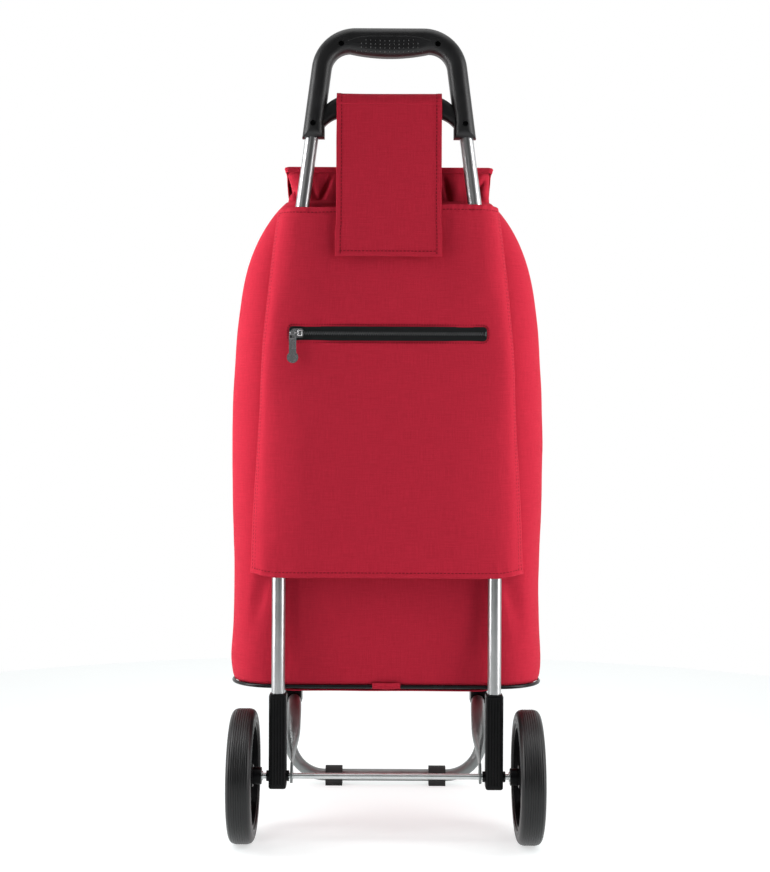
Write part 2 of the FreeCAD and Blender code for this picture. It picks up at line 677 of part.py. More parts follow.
def lid_strap():
    """Closing strap sewn on the lid's front skirt; it lies down the sloping front of the bag."""
    t = LID_STRAP_T
    y0 = LID_FRONT_Y + 0.3
    skirt_z = LID_Z + LID_T - LID_SKIRT
    knee = strap_y(STRAP_KNEE_Z)
    end = strap_y(STRAP_FOOT_Z)
    profile = [(y0, LID_Z - 2), (y0, skirt_z), (knee, STRAP_KNEE_Z), (end, STRAP_FOOT_Z),
               (end + t, STRAP_FOOT_Z), (knee + t, STRAP_KNEE_Z + 1), (y0 + t, skirt_z + 1), (y0 + t, LID_Z - 2)]
    return strap_prism(LID_STRAP_W / 2, profile)


def lid_strap_patch():
    """Touch-fastener patch on the bag, under the end of the closing strap."""
    low = STRAP_FOOT_Z + 4
    high = low + 20
    profile = [(strap_y(high) - 1.9, high), (strap_y(low) - 1.9, low),
               (strap_y(low) - 1.1, low), (strap_y(high) - 1.1, high)]
    return strap_prism(LID_STRAP_W / 2 - 2, profile)


# ---------------------------------------------------------------- rear panel, zip, tab
def panel_section(z, half_w, seam_y):
    """Closed section of the rear panel at a height: it stands proud over the two uprights."""
    crest = tube_x(z) + TUBE_D / 2 + 1.5
    out_y = PANEL_Y
    in_y = PANEL_Y + PANEL_T
    points = [at(-half_w, seam_y, z), at(-crest, out_y, z), at(crest, out_y, z), at(half_w, seam_y, z),
              at(half_w - PANEL_T, seam_y, z), at(crest - 0.8, in_y, z),
              at(-crest + 0.8, in_y, z), at(-half_w + PANEL_T, seam_y, z)]
    return polygon_wire(points)


def rear_panel():
    """Fabric panel over the uprights, sewn to the bag at its sides and open above and below."""
    levels = [(PANEL_FOOT_Z, 160.0, 19.0), (BEND_Z, 150.0, 15.5), (PANEL_TOP_Z, 131.0, 24.0)]
    spans = []
    for (z0, w0, s0), (z1, w1, s1) in zip(levels, levels[1:]):
        spans.append(Part.makeLoft([panel_section(z0, w0, s0), panel_section(z1, w1, s1)], True, True))
    panel = spans[0].fuse(spans[1])
    return panel.cut(bag_loft(-0.3, BAG_FOOT_Z, NECK_Z))


def pocket_lining():
    """Lining pouch behind the zip, hanging between the uprights."""
    y0 = PANEL_Y + PANEL_T + 0.2
    pouch = box(-104, 104, y0, y0 + 3.0, 400, ZIP_Z + 12)
    return pouch.cut(box(-101, 101, y0 + 1.0, y0 + 2.0, 403, ZIP_Z + 20))


def zip_tape():
    y1 = PANEL_Y - 0.05
    tape = box(-ZIP_HALF_W, ZIP_HALF_W, y1 - 1.0, y1, ZIP_Z - ZIP_H / 2, ZIP_Z + ZIP_H / 2)
    return tape.makeFillet(4.0, [e for e in tape.Edges if e.BoundBox.YLength > 0.9 and e.Length < 2])


def zip_coil():
    y1 = PANEL_Y - 1.1
    return box(-COIL_HALF_W, COIL_HALF_W, y1 - 1.0, y1, ZIP_Z - 2.0, ZIP_Z + 2.0)


def zip_stops():
    y1 = PANEL_Y - 1.1
    stop = box(COIL_HALF_W + 0.2, COIL_HALF_W + 2.0, y1 - 1.6, y1, ZIP_Z - 2.6, ZIP_Z + 2.6)
    return both_sides(stop)


def zip_slider():
    """Slider body over the coil, with a stepped back and a slotted bridge that holds the puller."""
    y1 = PANEL_Y - 2.5
    x = SLIDER_X
    plate = box(x - SLIDER_HALF_W, x + SLIDER_HALF_W, y1 - 1.8, y1, ZIP_Z - 5.2, ZIP_Z + 5.2)
    corners = [e for e in plate.Edges if e.BoundBox.YLength > 1]
    plate = plate.makeFillet(2.2, corners)
    saddle = box(x + 0.4, x + SLIDER_HALF_W - 1.2, y1 - 3.2, y1 - 1.0, ZIP_Z - 3.4, ZIP_Z + 3.4)
    saddle = saddle.makeFillet(0.9, saddle.Edges)
    plate = plate.fuse(saddle)
    bridge = box(PULLER_X - 2.0, PULLER_X + 2.0, y1 - 4.6, y1 - 1.0, ZIP_Z - 2.1, ZIP_Z + 2.1)
    slot = box(PULLER_X - 3.0, PULLER_X + 3.0, y1 - 3.6, y1 - 1.8, ZIP_Z - 1.0, ZIP_Z + 1.0)
    return plate.fuse(bridge).cut(slot)


def zip_puller():
    """Hanging puller: a bar through the slider's bridge, two arms, a recessed plate and a round end."""
    x = PULLER_X
    y = PANEL_Y - 2.5 - 2.7
    t = 0.7
    half = 4.3
    pin = across(2 * t, x - half, x + half, y, ZIP_Z)
    eye = box(x - half, x + half, y - t, y + t, ZIP_Z - 8.0, ZIP_Z)
    eye = eye.cut(box(x - half + 1.2, x + half - 1.2, y - 2, y + 2, ZIP_Z - 5.5, ZIP_Z - 0.4))
    plate = box(x - half, x + half, y - t, y + t, ZIP_Z - 26.0, ZIP_Z - 7.0)
    disc = rod(13.5, at(x, y - t, ZIP_Z - 28.5), at(x, y + t, ZIP_Z - 28.5))
    puller = pin.fuse([eye, plate, disc]).removeSplitter()
    recess = box(x - 2.9, x + 2.9, y - 2, y - t + 0.45, ZIP_Z - 20.5, ZIP_Z - 8.6)
    for bar_z in (-17.2, -12.6):
        recess = recess.cut(box(x - 1.4, x + 1.4, y - 3, y, ZIP_Z + bar_z - 1.2, ZIP_Z + bar_z + 1.2))
    dish = rod(8.6, at(x, y - 2, ZIP_Z - 28.5), at(x, y - t + 0.45, ZIP_Z - 28.5))
    return puller.cut(recess).cut(dish)


def tab_fixed():
    """Hanging tab: sewn to the bag, up in front of the crossbar and over it to the rear."""
    outer_r = TAB_R + TAB_T
    half = TAB_W / 2
    wrap = across(2 * outer_r, -half, half, 0, CROSS_Z).cut(across(2 * TAB_R, -half - 1, half + 1, 0, CROSS_Z))
    wrap = wrap.common(box(-half, half, -outer_r, outer_r, CROSS_Z, CROSS_Z + outer_r))
    run = box(-half, half, TAB_R, outer_r, NECK_Z + 0.3, CROSS_Z)
    return wrap.fuse(run).removeSplitter()


def tab_flap():
    """The tab's free end, hanging behind the rear panel."""
    half = TAB_W / 2
    return box(-half, half, -TAB_R - TAB_T, -TAB_R, TAB_FOOT_Z, CROSS_Z - TAB_HINGE_DROP)


def velcro(y, z0, z1):
    return box(-30, 30, y, y + 0.8, z0, z1)


# ---------------------------------------------------------------- write
tube = frame_tube()
sleeve = leg_sleeve()
tyre_right = tyre()
rim_right = wheel_rim()
cap_right = hub_cap()
rear_saddle = saddle(SADDLE_REAR_Y)
front_saddle = saddle(SADDLE_FRONT_Y)
axle_bar = across(AXLE_D, -AXLE_END, AXLE_END)

NODES = {
    "frame_tube_right": tube,
    "frame_tube_left": mirrored(tube),
    "leg_sleeve_right": sleeve,
    "leg_sleeve_left": mirrored(sleeve),
    "handle_rear_shell": handle_shell(-1),
    "handle_front_shell": handle_shell(1),
    "handle_crossbar": crossbar(),
    "handle_screws": handle_screws(),
    "axle": axle_bar,
    "axle_spacers": axle_spacers(),
    "axle_washers": axle_washers(),
    "axle_push_nuts": axle_push_nuts(),
    "tyre_right": tyre_right,
    "tyre_left": mirrored(tyre_right),
    "wheel_rim_right": rim_right,
    "wheel_rim_left": mirrored(rim_right),
    "hub_cap_right": cap_right,
    "hub_cap_left": mirrored(cap_right),
    "stand_tube": stand_tube(),
    "foot_right": foot(FOOT_X),
    "foot_left": foot(-FOOT_X),
    "saddle_rear_right": rear_saddle,
    "saddle_rear_left": mirrored(rear_saddle),
    "saddle_front_right": front_saddle,
    "saddle_front_left": mirrored(front_saddle),
    "saddle_screws": saddle_screws(),
    "base_board": base_board(),
    "bag_body": bag_body(),
    "bag_bottom": bag_bottom(),
    "bottom_piping": bottom_piping(),
    "bottom_tab": bottom_tab(),
    "bag_collar": bag_collar(),
    "lid": lid(),
    "lid_strap": lid_strap(),
    "lid_strap_patch": lid_strap_patch(),
    "rear_panel": rear_panel(),
    "pocket_lining": pocket_lining(),
    "zip_tape": zip_tape(),
    "zip_coil": zip_coil(),
    "zip_stops": zip_stops(),
    "zip_slider": zip_slider(),
    "zip_puller": zip_puller(),
    "hang_tab_fixed": tab_fixed(),
    "hang_tab_flap": tab_flap(),
    "velcro_hook": velcro(-TAB_R + 0.05, TAB_FOOT_Z + 10, TAB_FOOT_Z + 50),
    "velcro_loop": velcro(PANEL_Y - 0.85, TAB_FOOT_Z + 10, TAB_FOOT_Z + 50),
}

os.makedirs("parts", exist_ok=True)
for name, shape in NODES.items():
    solids = shape.Solids
    print(name, "solids", len(solids), "valid", shape.isValid(), "volume_cm3", round(shape.Volume / 1000, 2))
    shape.exportStep(os.path.join("parts", name + ".step"))
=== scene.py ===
"""Looks of the shopping trolley: fabric bag, lid, rear panel, hanging tab, zip, tyres and finishes."""
import bpy
import math
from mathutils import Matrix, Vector, noise
from mathutils.bvhtree import BVHTree


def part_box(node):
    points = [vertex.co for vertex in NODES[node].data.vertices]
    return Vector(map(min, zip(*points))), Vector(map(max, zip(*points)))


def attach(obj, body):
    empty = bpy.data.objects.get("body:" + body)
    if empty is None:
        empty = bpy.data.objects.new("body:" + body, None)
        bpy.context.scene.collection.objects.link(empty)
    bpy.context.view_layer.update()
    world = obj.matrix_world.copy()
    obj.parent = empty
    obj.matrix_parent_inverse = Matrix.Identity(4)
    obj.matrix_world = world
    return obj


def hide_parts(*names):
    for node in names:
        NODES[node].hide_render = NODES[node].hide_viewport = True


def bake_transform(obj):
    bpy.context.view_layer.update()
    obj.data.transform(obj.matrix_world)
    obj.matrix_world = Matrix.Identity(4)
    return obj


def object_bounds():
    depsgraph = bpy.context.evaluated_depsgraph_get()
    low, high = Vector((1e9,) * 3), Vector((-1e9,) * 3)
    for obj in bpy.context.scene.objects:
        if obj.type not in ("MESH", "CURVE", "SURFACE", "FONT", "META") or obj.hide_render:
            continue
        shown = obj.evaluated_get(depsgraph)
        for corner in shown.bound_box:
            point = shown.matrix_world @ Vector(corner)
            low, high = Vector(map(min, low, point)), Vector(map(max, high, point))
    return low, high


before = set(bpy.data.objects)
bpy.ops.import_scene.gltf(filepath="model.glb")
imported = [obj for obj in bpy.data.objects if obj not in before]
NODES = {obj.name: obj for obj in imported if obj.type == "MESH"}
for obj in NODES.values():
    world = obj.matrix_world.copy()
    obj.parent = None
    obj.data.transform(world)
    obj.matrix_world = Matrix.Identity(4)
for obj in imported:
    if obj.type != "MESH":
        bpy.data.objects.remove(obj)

CAD_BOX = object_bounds()
MM = 0.001
TAU = 2 * math.pi


def middle(node):
    lo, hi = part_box(node)
    return (lo + hi) / 2


AXLE = middle("axle")                     # the axle's middle: most places are set out from it
AXLE_Y = AXLE.y
WHEEL_R = AXLE.z
BAG_LO, BAG_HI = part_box("bag_body")
BAG_MID_Y = (BAG_LO.y + BAG_HI.y) / 2
PANEL_LO, PANEL_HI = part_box("rear_panel")
ZIP_LO, ZIP_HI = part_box("zip_tape")
ZIP_Z = (ZIP_LO.z + ZIP_HI.z) / 2
PANEL_BACK = PANEL_LO.y                   # outer face of the rear panel
TUBE_R = 8.0 * MM
TUBE_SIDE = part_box("frame_tube_right")[1].x - TUBE_R
BEND_Z = 0.552                            # the uprights lean in above this height
LEAN = math.tan(math.radians(7.45))       # how far they lean in for each metre up
CLOTH = 1.3 * MM                          # thickness of the bag's fabric
REARWARD = Vector((0, -1, 0))


def smooth(a, b, x):
    """0 below a, 1 above b, smooth between."""
    t = min(1.0, max(0.0, (x - a) / (b - a)))
    return t * t * (3 - 2 * t)


def bump(x, centre, width):
    """A smooth hill of height 1."""
    return math.exp(-((x - centre) / width) ** 2)


def rough(x, y, z, scale, seed=0.0):
    """Smooth noise from about -1 to 1, with features about scale metres across."""
    return noise.noise(Vector((x / scale + seed, y / scale - seed, z / scale + 2 * seed)))


def tube_x(z):
    """Half spacing of the uprights at a height."""
    return TUBE_SIDE - max(0.0, z - BEND_Z) * LEAN


# ---------------------------------------------------------------- mesh helpers
def running_lengths(points):
    """Length along a polyline up to each of its points."""
    lengths = [0.0]
    for a, b in zip(points, points[1:]):
        lengths.append(lengths[-1] + (b - a).length)
    return lengths


def mesh_object(name, verts, faces, uvs=None, flat=False):
    mesh = bpy.data.meshes.new(name)
    mesh.from_pydata([tuple(v) for v in verts], [], faces)
    if uvs is not None:
        layer = mesh.uv_layers.new(name="UVMap")
        for loop in mesh.loops:
            layer.data[loop.index].uv = uvs[loop.vertex_index]
    for p in mesh.polygons:
        p.use_smooth = not flat
    mesh.update()
    obj = bpy.data.objects.new(name, mesh)
    bpy.context.scene.collection.objects.link(obj)
    return obj


def grid(name, rows, columns, place, closed=False):
    """A quad grid from place(u, v), u and v from 0 to 1; its UVs are lengths in metres."""
    across = columns if closed else columns + 1
    points = [[place(j / columns, i / rows) for j in range(across)] for i in range(rows + 1)]
    u_len = running_lengths(points[rows // 2])
    v_len = running_lengths([row[across // 2] for row in points])
    verts = [p for row in points for p in row]
    uvs = [(u_len[j], v_len[i]) for i in range(rows + 1) for j in range(across)]
    faces = []
    for i in range(rows):
        for j in range(columns):
            k = (j + 1) % across
            faces.append((i * across + j, i * across + k, (i + 1) * across + k, (i + 1) * across + j))
    return mesh_object(name, verts, faces, uvs)


def bake_modifiers(obj):
    """Replaces the mesh by its evaluated one and drops the modifiers."""
    bpy.context.view_layer.update()
    graph = bpy.context.evaluated_depsgraph_get()
    mesh = bpy.data.meshes.new_from_object(obj.evaluated_get(graph))
    obj.modifiers.clear()
    obj.data = mesh
    return obj


def thicken(obj, thickness, offset=-1.0):
    """Gives a sheet its thickness; offset -1 grows it against the normals."""
    solid = obj.modifiers.new("thickness", "SOLIDIFY")
    solid.thickness = thickness
    solid.offset = offset
    solid.use_even_offset = True
    return bake_modifiers(obj)


def joined(name, parts):
    """One mesh from (verts, faces) pairs."""
    verts, faces = [], []
    for vs, fs in parts:
        base = len(verts)
        verts += vs
        faces += [tuple(i + base for i in f) for f in fs]
    return mesh_object(name, verts, faces)


def capsule(start, end, normal, half_w, height, rings=5, sides=8):
    """A stitch or bead: a flattened capsule from start to end, standing on a surface."""
    way = end - start
    side = way.cross(normal).normalized()
    up = side.cross(way).normalized()
    verts, faces = [], []
    for i in range(rings + 1):
        t = i / rings
        size = math.sin(math.pi * (0.12 + 0.76 * t)) ** 0.5
        for j in range(sides):
            a = TAU * j / sides
            verts.append(start + way * t + side * (half_w * size * math.cos(a))
                         + up * (height * size * math.sin(a)))
    for i in range(rings):
        for j in range(sides):
            k = (j + 1) % sides
            faces.append((i * sides + j, (i + 1) * sides + j, (i + 1) * sides + k, i * sides + k))
    faces.append(tuple(range(sides)))
    faces.append(tuple(range(rings * sides + sides - 1, rings * sides - 1, -1)))
    return verts, faces


def walk(points, step):
    """Points spaced evenly along a polyline."""
    out = [points[0]]
    carry = 0.0
    for a, b in zip(points, points[1:]):
        length = (b - a).length
        at = step - carry
        while at <= length:
            out.append(a + (b - a) * (at / length))
            at += step
        carry = length - (at - step)
    return out


def stitches(name, rows, length=2.9 * MM, gap=1.5 * MM, half_w=0.48 * MM, height=0.42 * MM):
    """Rows of thread stitches; each row is (points, normal)."""
    parts = []
    for points, normal in rows:
        marks = walk(points, length + gap)
        for a, b in zip(marks, marks[1:]):
            end = a + (b - a) * (length / (length + gap))
            parts.append(capsule(a, end, normal, half_w, height))
    return joined(name, parts)


def lathe(name, profile, segments, centre):
    """Turns a closed (x, r) profile about the X axis through a centre."""
    count = len(profile)
    verts, faces, uvs = [], [], []
    for i in range(segments):
        a = TAU * i / segments
        for k, (x, r) in enumerate(profile):
            verts.append(Vector((x, centre.y + r * math.cos(a), centre.z + r * math.sin(a))))
            uvs.append((a * 0.07, k * MM))
    for i in range(segments):
        n = (i + 1) % segments
        for k in range(count):
            m = (k + 1) % count
            faces.append((i * count + k, n * count + k, n * count + m, i * count + m))
    return mesh_object(name, verts, faces, uvs)


# ---------------------------------------------------------------- materials
def new_material(name):
    material = bpy.data.materials.new(name)
    material.use_nodes = True
    nodes = material.node_tree.nodes
    shader = nodes["Principled BSDF"]
    return material, nodes, material.node_tree.links, shader


def math_node(nodes, links, kind, a, b=None):
    """A math node; each input is a socket or a number."""
    node = nodes.new("ShaderNodeMath")
    node.operation = kind
    for socket, value in zip(node.inputs, (a, b)):
        if value is None:
            continue
        if hasattr(value, "links"):
            links.new(value, socket)
        else:
            socket.default_value = value
    return node.outputs[0]


def noise_node(nodes, links, vector, scale, detail=3.0, rough_value=0.5):
    node = nodes.new("ShaderNodeTexNoise")
    links.new(vector, node.inputs["Vector"])
    node.inputs["Scale"].default_value = scale
    node.inputs["Detail"].default_value = detail
    node.inputs["Roughness"].default_value = rough_value
    return node.outputs["Fac"]


def scaled(nodes, links, vector, scale):
    node = nodes.new("ShaderNodeMapping")
    links.new(vector, node.inputs["Vector"])
    node.inputs["Scale"].default_value = scale
    return node.outputs["Vector"]


def ramp(nodes, links, fac, stops):
    node = nodes.new("ShaderNodeValToRGB")
    links.new(fac, node.inputs["Fac"])
    elements = node.color_ramp.elements
    while len(elements) < len(stops):
        elements.new(0.5)
    for element, (place, colour) in zip(elements, stops):
        element.position = place
        element.color = (*colour, 1.0)
    return node.outputs["Color"]


def bump_node(nodes, links, shader, height, strength, distance):
    node = nodes.new("ShaderNodeBump")
    node.inputs["Strength"].default_value = strength
    node.inputs["Distance"].default_value = distance
    links.new(height, node.inputs["Height"])
    links.new(node.outputs["Normal"], shader.inputs["Normal"])


def vary_roughness(nodes, links, shader, fac, low, high):
    spread = nodes.new("ShaderNodeMapRange")
    links.new(fac, spread.inputs["Value"])
    spread.inputs["To Min"].default_value = low
    spread.inputs["To Max"].default_value = high
    links.new(spread.outputs["Result"], shader.inputs["Roughness"])


def fabric(name, dark, light, thread=0.62 * MM, weave=0.5, rough_value=0.74, sheen=0.02):
    """Plain weave on UVs in metres: over-and-under threads, slubs along both ways, soft mottling."""
    material, nodes, links, shader = new_material(name)
    uv = nodes.new("ShaderNodeUVMap").outputs["UV"]
    split = nodes.new("ShaderNodeSeparateXYZ")
    links.new(uv, split.inputs[0])
    waves = []
    for axis in (0, 1):
        angle = math_node(nodes, links, "MULTIPLY", split.outputs[axis], math.pi / thread)
        waves.append(math_node(nodes, links, "ABSOLUTE", math_node(nodes, links, "SINE", angle)))
    check = nodes.new("ShaderNodeTexChecker")
    links.new(uv, check.inputs["Vector"])
    check.inputs["Scale"].default_value = 1 / thread
    over = math_node(nodes, links, "MULTIPLY", waves[0], check.outputs["Fac"])
    rest = math_node(nodes, links, "SUBTRACT", 1.0, check.outputs["Fac"])
    under = math_node(nodes, links, "MULTIPLY", waves[1], rest)
    cloth_height = math_node(nodes, links, "ADD", over, under)
    along = noise_node(nodes, links, scaled(nodes, links, uv, (45, 1300, 1)), 1.0, 2.0)
    across = noise_node(nodes, links, scaled(nodes, links, uv, (1300, 45, 1)), 1.0, 2.0)
    slub = math_node(nodes, links, "ADD", along, across)
    mottle = noise_node(nodes, links, uv, 260.0, 4.0, 0.6)
    tone = math_node(nodes, links, "MULTIPLY", slub, 0.34)
    tone = math_node(nodes, links, "ADD", tone, math_node(nodes, links, "MULTIPLY", mottle, 0.16))
    tone = math_node(nodes, links, "ADD", tone, math_node(nodes, links, "MULTIPLY", cloth_height, 0.22))
    colour = ramp(nodes, links, tone, [(0.28, dark), (0.86, light)])
    links.new(colour, shader.inputs["Base Color"])
    height = math_node(nodes, links, "ADD", cloth_height, math_node(nodes, links, "MULTIPLY", slub, 0.9))
    bump_node(nodes, links, shader, height, weave, 0.25 * MM)
    shader.inputs["Roughness"].default_value = rough_value
    shader.inputs["Sheen Weight"].default_value = sheen
    shader.inputs["Sheen Roughness"].default_value = 0.45
    shader.inputs["Specular IOR Level"].default_value = 0.06
    return material


def plastic(name, dark, light, rough_low, rough_high, grain=0.25, specular=0.5):
    """Moulded plastic: fine spark grain, faint scuffs and uneven gloss."""
    material, nodes, links, shader = new_material(name)
    place = nodes.new("ShaderNodeTexCoord").outputs["Object"]
    scuff = noise_node(nodes, links, place, 55.0, 5.0, 0.62)
    fine = noise_node(nodes, links, place, 2200.0, 2.0)
    colour = ramp(nodes, links, scuff, [(0.3, dark), (0.75, light)])
    links.new(colour, shader.inputs["Base Color"])
    vary_roughness(nodes, links, shader, scuff, rough_low, rough_high)
    bump_node(nodes, links, shader, fine, grain, 0.12 * MM)
    shader.inputs["Specular IOR Level"].default_value = specular
    return material


def metal(name, dark, light, rough_low, rough_high, streak=(900, 900, 14), brush=0.12, metallic=1.0):
    """Drawn metal: fine streaks along its length and faint handling marks."""
    material, nodes, links, shader = new_material(name)
    place = nodes.new("ShaderNodeTexCoord").outputs["Object"]
    lines = noise_node(nodes, links, scaled(nodes, links, place, streak), 1.0, 3.0)
    marks = noise_node(nodes, links, place, 38.0, 5.0, 0.65)
    colour = ramp(nodes, links, marks, [(0.3, dark), (0.7, light)])
    links.new(colour, shader.inputs["Base Color"])
    vary_roughness(nodes, links, shader, marks, rough_low, rough_high)
    bump_node(nodes, links, shader, lines, brush, 0.05 * MM)
    shader.inputs["Metallic"].default_value = metallic
    return material


RED = fabric("red_weave", (0.35, 0.009, 0.024), (0.62, 0.028, 0.058))
RED_LINING = fabric("red_lining", (0.24, 0.012, 0.03), (0.36, 0.025, 0.05), thread=0.4 * MM, weave=0.25)
# Stitch thread coloured far darker than the cloth: painted shade of the sunk stitch lines.
THREAD_PAINTED_SHADE = fabric("red_thread_painted_shade", (0.085, 0.004, 0.009), (0.20, 0.008, 0.018), thread=0.3 * MM, weave=0.3)
WEBBING = fabric("red_webbing", (0.26, 0.011, 0.025), (0.46, 0.025, 0.05), thread=1.1 * MM, weave=0.8)
FUZZ = fabric("touch_fastener", (0.18, 0.010, 0.02), (0.32, 0.02, 0.04), thread=0.9 * MM, weave=1.0, sheen=0.6)
ZIP_TAPE = fabric("zip_tape", (0.006, 0.007, 0.007), (0.018, 0.019, 0.020), thread=0.7 * MM, weave=0.6)
BLACK = plastic("black_moulding", (0.0025, 0.0025, 0.003), (0.006, 0.006, 0.0065), 0.28, 0.40, specular=0.14)
GRIP = plastic("handle_moulding", (0.010, 0.010, 0.0105), (0.018, 0.018, 0.019), 0.34, 0.46, grain=0.3,
               specular=0.34)
# The pips are the grip's own plastic made several times lighter: a painted highlight on each pip.
PIP_PAINTED_HIGHLIGHT = plastic("grip_pips_painted_highlight", (0.060, 0.060, 0.061), (0.095, 0.095, 0.096), 0.24, 0.34, grain=0.1, specular=0.5)
GLOSS = plastic("piping_gloss", (0.005, 0.005, 0.006), (0.010, 0.010, 0.011), 0.20, 0.32, grain=0.05,
                specular=0.22)
COIL = plastic("zip_coil_nylon", (0.035, 0.036, 0.038), (0.075, 0.077, 0.080), 0.30, 0.42, grain=0.1)
RUBBER = plastic("foot_rubber", (0.010, 0.010, 0.010), (0.022, 0.022, 0.022), 0.55, 0.75, grain=0.5,
                 specular=0.3)
TYRE = plastic("tyre_rubber", (0.005, 0.005, 0.0055), (0.010, 0.010, 0.0105), 0.32, 0.46, grain=0.4,
               specular=0.36)
BOARD = plastic("base_board", (0.12, 0.09, 0.06), (0.22, 0.17, 0.12), 0.7, 0.9, grain=0.7, specular=0.2)
TUBE = metal("tube_aluminium", (0.42, 0.425, 0.43), (0.50, 0.505, 0.51), 0.28, 0.36, brush=0.04, metallic=0.92)
STAND = metal("stand_metal", (0.16, 0.176, 0.175), (0.23, 0.248, 0.246), 0.32, 0.42, streak=(500, 60, 500),
              metallic=0.5)
STEEL = metal("axle_steel", (0.55, 0.575, 0.575), (0.69, 0.715, 0.715), 0.14, 0.24, streak=(14, 900, 900),
              metallic=0.6)
NICKEL = metal("zip_nickel", (0.62, 0.62, 0.63), (0.80, 0.80, 0.81), 0.16, 0.28, streak=(300, 300, 300),
               metallic=0.9)
SCREW = metal("screw_steel", (0.012, 0.012, 0.013), (0.025, 0.025, 0.027), 0.45, 0.60, streak=(300, 300, 300))


def finish_piece(obj, body, material, slot, *nodes):
    """Gives a piece its material and body (None leaves it unattached) and hides the CAD nodes it stands for; the
    slot is not used.
    """
    obj.data.materials.clear()
    obj.data.materials.append(material)
    if body is not None:
        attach(obj, body)
    if nodes:
        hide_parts(*nodes)
    return obj


# ---------------------------------------------------------------- bag body
def node_surface(node):
    mesh = NODES[node].data
    return BVHTree.FromPolygons([v.co for v in mesh.vertices], [tuple(p.vertices) for p in mesh.polygons])


BAG_SURFACE = node_surface("bag_body")


def bag_outline(z, count=720):
    """Points round the bag at a height, from the middle of the rear, evenly spaced by length."""
    centre = Vector((0, BAG_MID_Y, z))
    points = []
    for i in range(count):
        a = TAU * i / count - math.pi / 2
        way = Vector((math.cos(a), math.sin(a), 0))
        hit = BAG_SURFACE.ray_cast(centre + way, -way)[0]
        points.append(hit)
    points.append(points[0])
    return points, running_lengths(points)


def along_outline(outline, share):
    """Point at a share of an outline's length."""
    points, lengths = outline
    want = (share % 1.0) * lengths[-1]
    lo, hi = 0, len(lengths) - 1
    while hi - lo > 1:
        mid = (lo + hi) // 2
        if lengths[mid] <= want:
            lo = mid
        else:
            hi = mid
    t = (want - lengths[lo]) / max(1e-9, lengths[hi] - lengths[lo])
    return points[lo].lerp(points[hi], t)


BAG_ROWS = 150
BAG_COLUMNS = 400
BAG_TOP = BAG_HI.z - 0.6 * MM
BAG_FOOT = BAG_LO.z + 0.3 * MM
BAG_OUTLINES = [bag_outline(BAG_FOOT + (BAG_TOP - BAG_FOOT) * i / BAG_ROWS) for i in range(BAG_ROWS + 1)]


def bag_shape(u, v):
    """The bag's outer face: the CAD form, softened by sags, pulls and a tucked-in lower edge."""
    row = min(BAG_ROWS, round(v * BAG_ROWS))
    p = along_outline(BAG_OUTLINES[row], u)
    way = Vector((p.x, p.y - BAG_MID_Y, 0)).normalized()
    height = p.z - BAG_LO.z
    tuck = (1 - smooth(0, 9 * MM, height)) ** 2 * 0.9 * MM
    sag = 1.6 * MM * rough(p.x, p.y, p.z * 0.6, 0.11, 3.0) + 0.7 * MM * rough(p.x, p.y, p.z, 0.045, 7.0)
    side = abs(p.x)
    rear = smooth(BAG_MID_Y, BAG_LO.y + 0.03, p.y)
    pull = -4.6 * MM * rear * bump(side, 0.150 + 0.25 * (0.29 - p.z), 0.009) * bump(p.z, 0.288, 0.034)
    pull += 1.8 * MM * rear * bump(side, 0.166, 0.010) * bump(p.z, 0.285, 0.045)
    pull += -3.4 * MM * rear * bump(side, 0.116, 0.009) * bump(p.z, 0.265, 0.065)
    pull += 1.2 * MM * rear * bump(side, 0.096, 0.012) * bump(p.z, 0.27, 0.06)
    soft_front = -2.0 * MM * (1 - rear) * bump(p.z, 0.56, 0.05) * bump(p.x, 0.03, 0.12)
    keep = smooth(0, 32 * MM, height) * (1 - smooth(BAG_HI.z - 0.03, BAG_HI.z, p.z))
    out = (sag + pull + soft_front) * keep - tuck
    return p + way * (min(out, 1.5 * MM) - 0.4 * MM)


def make_bag():
    """The bag's shell; its UVs run on past the seam so the weave has no break."""
    bag = grid("bag_shell", BAG_ROWS, BAG_COLUMNS, bag_shape, closed=True)
    mesh = bag.data
    layer = mesh.uv_layers[0].data
    width = max(d.uv[0] for d in layer)
    for poly in mesh.polygons:
        us = [layer[i].uv[0] for i in poly.loop_indices]
        if max(us) - min(us) > width / 2:
            for i in poly.loop_indices:
                if layer[i].uv[0] < width / 2:
                    layer[i].uv[0] += width + width / BAG_COLUMNS
    thicken(bag, CLOTH)
    return finish_piece(bag, "frame", RED, "red_fabric", "bag_body")


def make_underside():
    """Bottom panel sewn inside the piping, sagging a little between the saddles."""
    lo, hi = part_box("bag_bottom")
    centre = Vector((0, (lo.y + hi.y) / 2, 0))
    outline = BAG_OUTLINES[1]
    shrink = (hi.x - 1.5 * MM) / max(p.x for p in outline[0])

    def place(u, v):
        edge = along_outline(outline, u)
        spread = (edge - centre) * shrink
        sag = 0.8 * MM * math.cos(v * math.pi / 2) + 0.3 * MM * rough(spread.x * v, spread.y * v, 0, 0.05)
        slack_edge = 4.6 * MM * smooth(0.80, 0.97, v)
        slack_edge *= smooth(0.15, 0.11, abs(spread.x)) * smooth(0, -0.02, spread.y)
        return Vector((spread.x * v, centre.y + spread.y * v, hi.z - 1.6 * MM - sag - slack_edge))

    plate = grid("bag_underside", 26, 160, place, closed=True)
    thicken(plate, 1.6 * MM, 1.0)
    return finish_piece(plate, "frame", RED, "red_fabric", "bag_bottom")


# ---------------------------------------------------------------- rear panel
PANEL_ROWS = 220
PANEL_COLUMNS = 200
PANEL_BANDS = 60                          # heights between which the panel's section is interpolated
SEAM_ROWS = (0.935, 0.972)                # stitch lines of the side seams, as shares of the half width
HEM = 7 * MM


def seam_half_width(z):
    """Half width of the rear panel at its side seams."""
    return 0.1605 - 0.0105 * smooth(PANEL_LO.z, 0.56, z) - 0.0205 * smooth(0.54, PANEL_HI.z + 0.03, z)


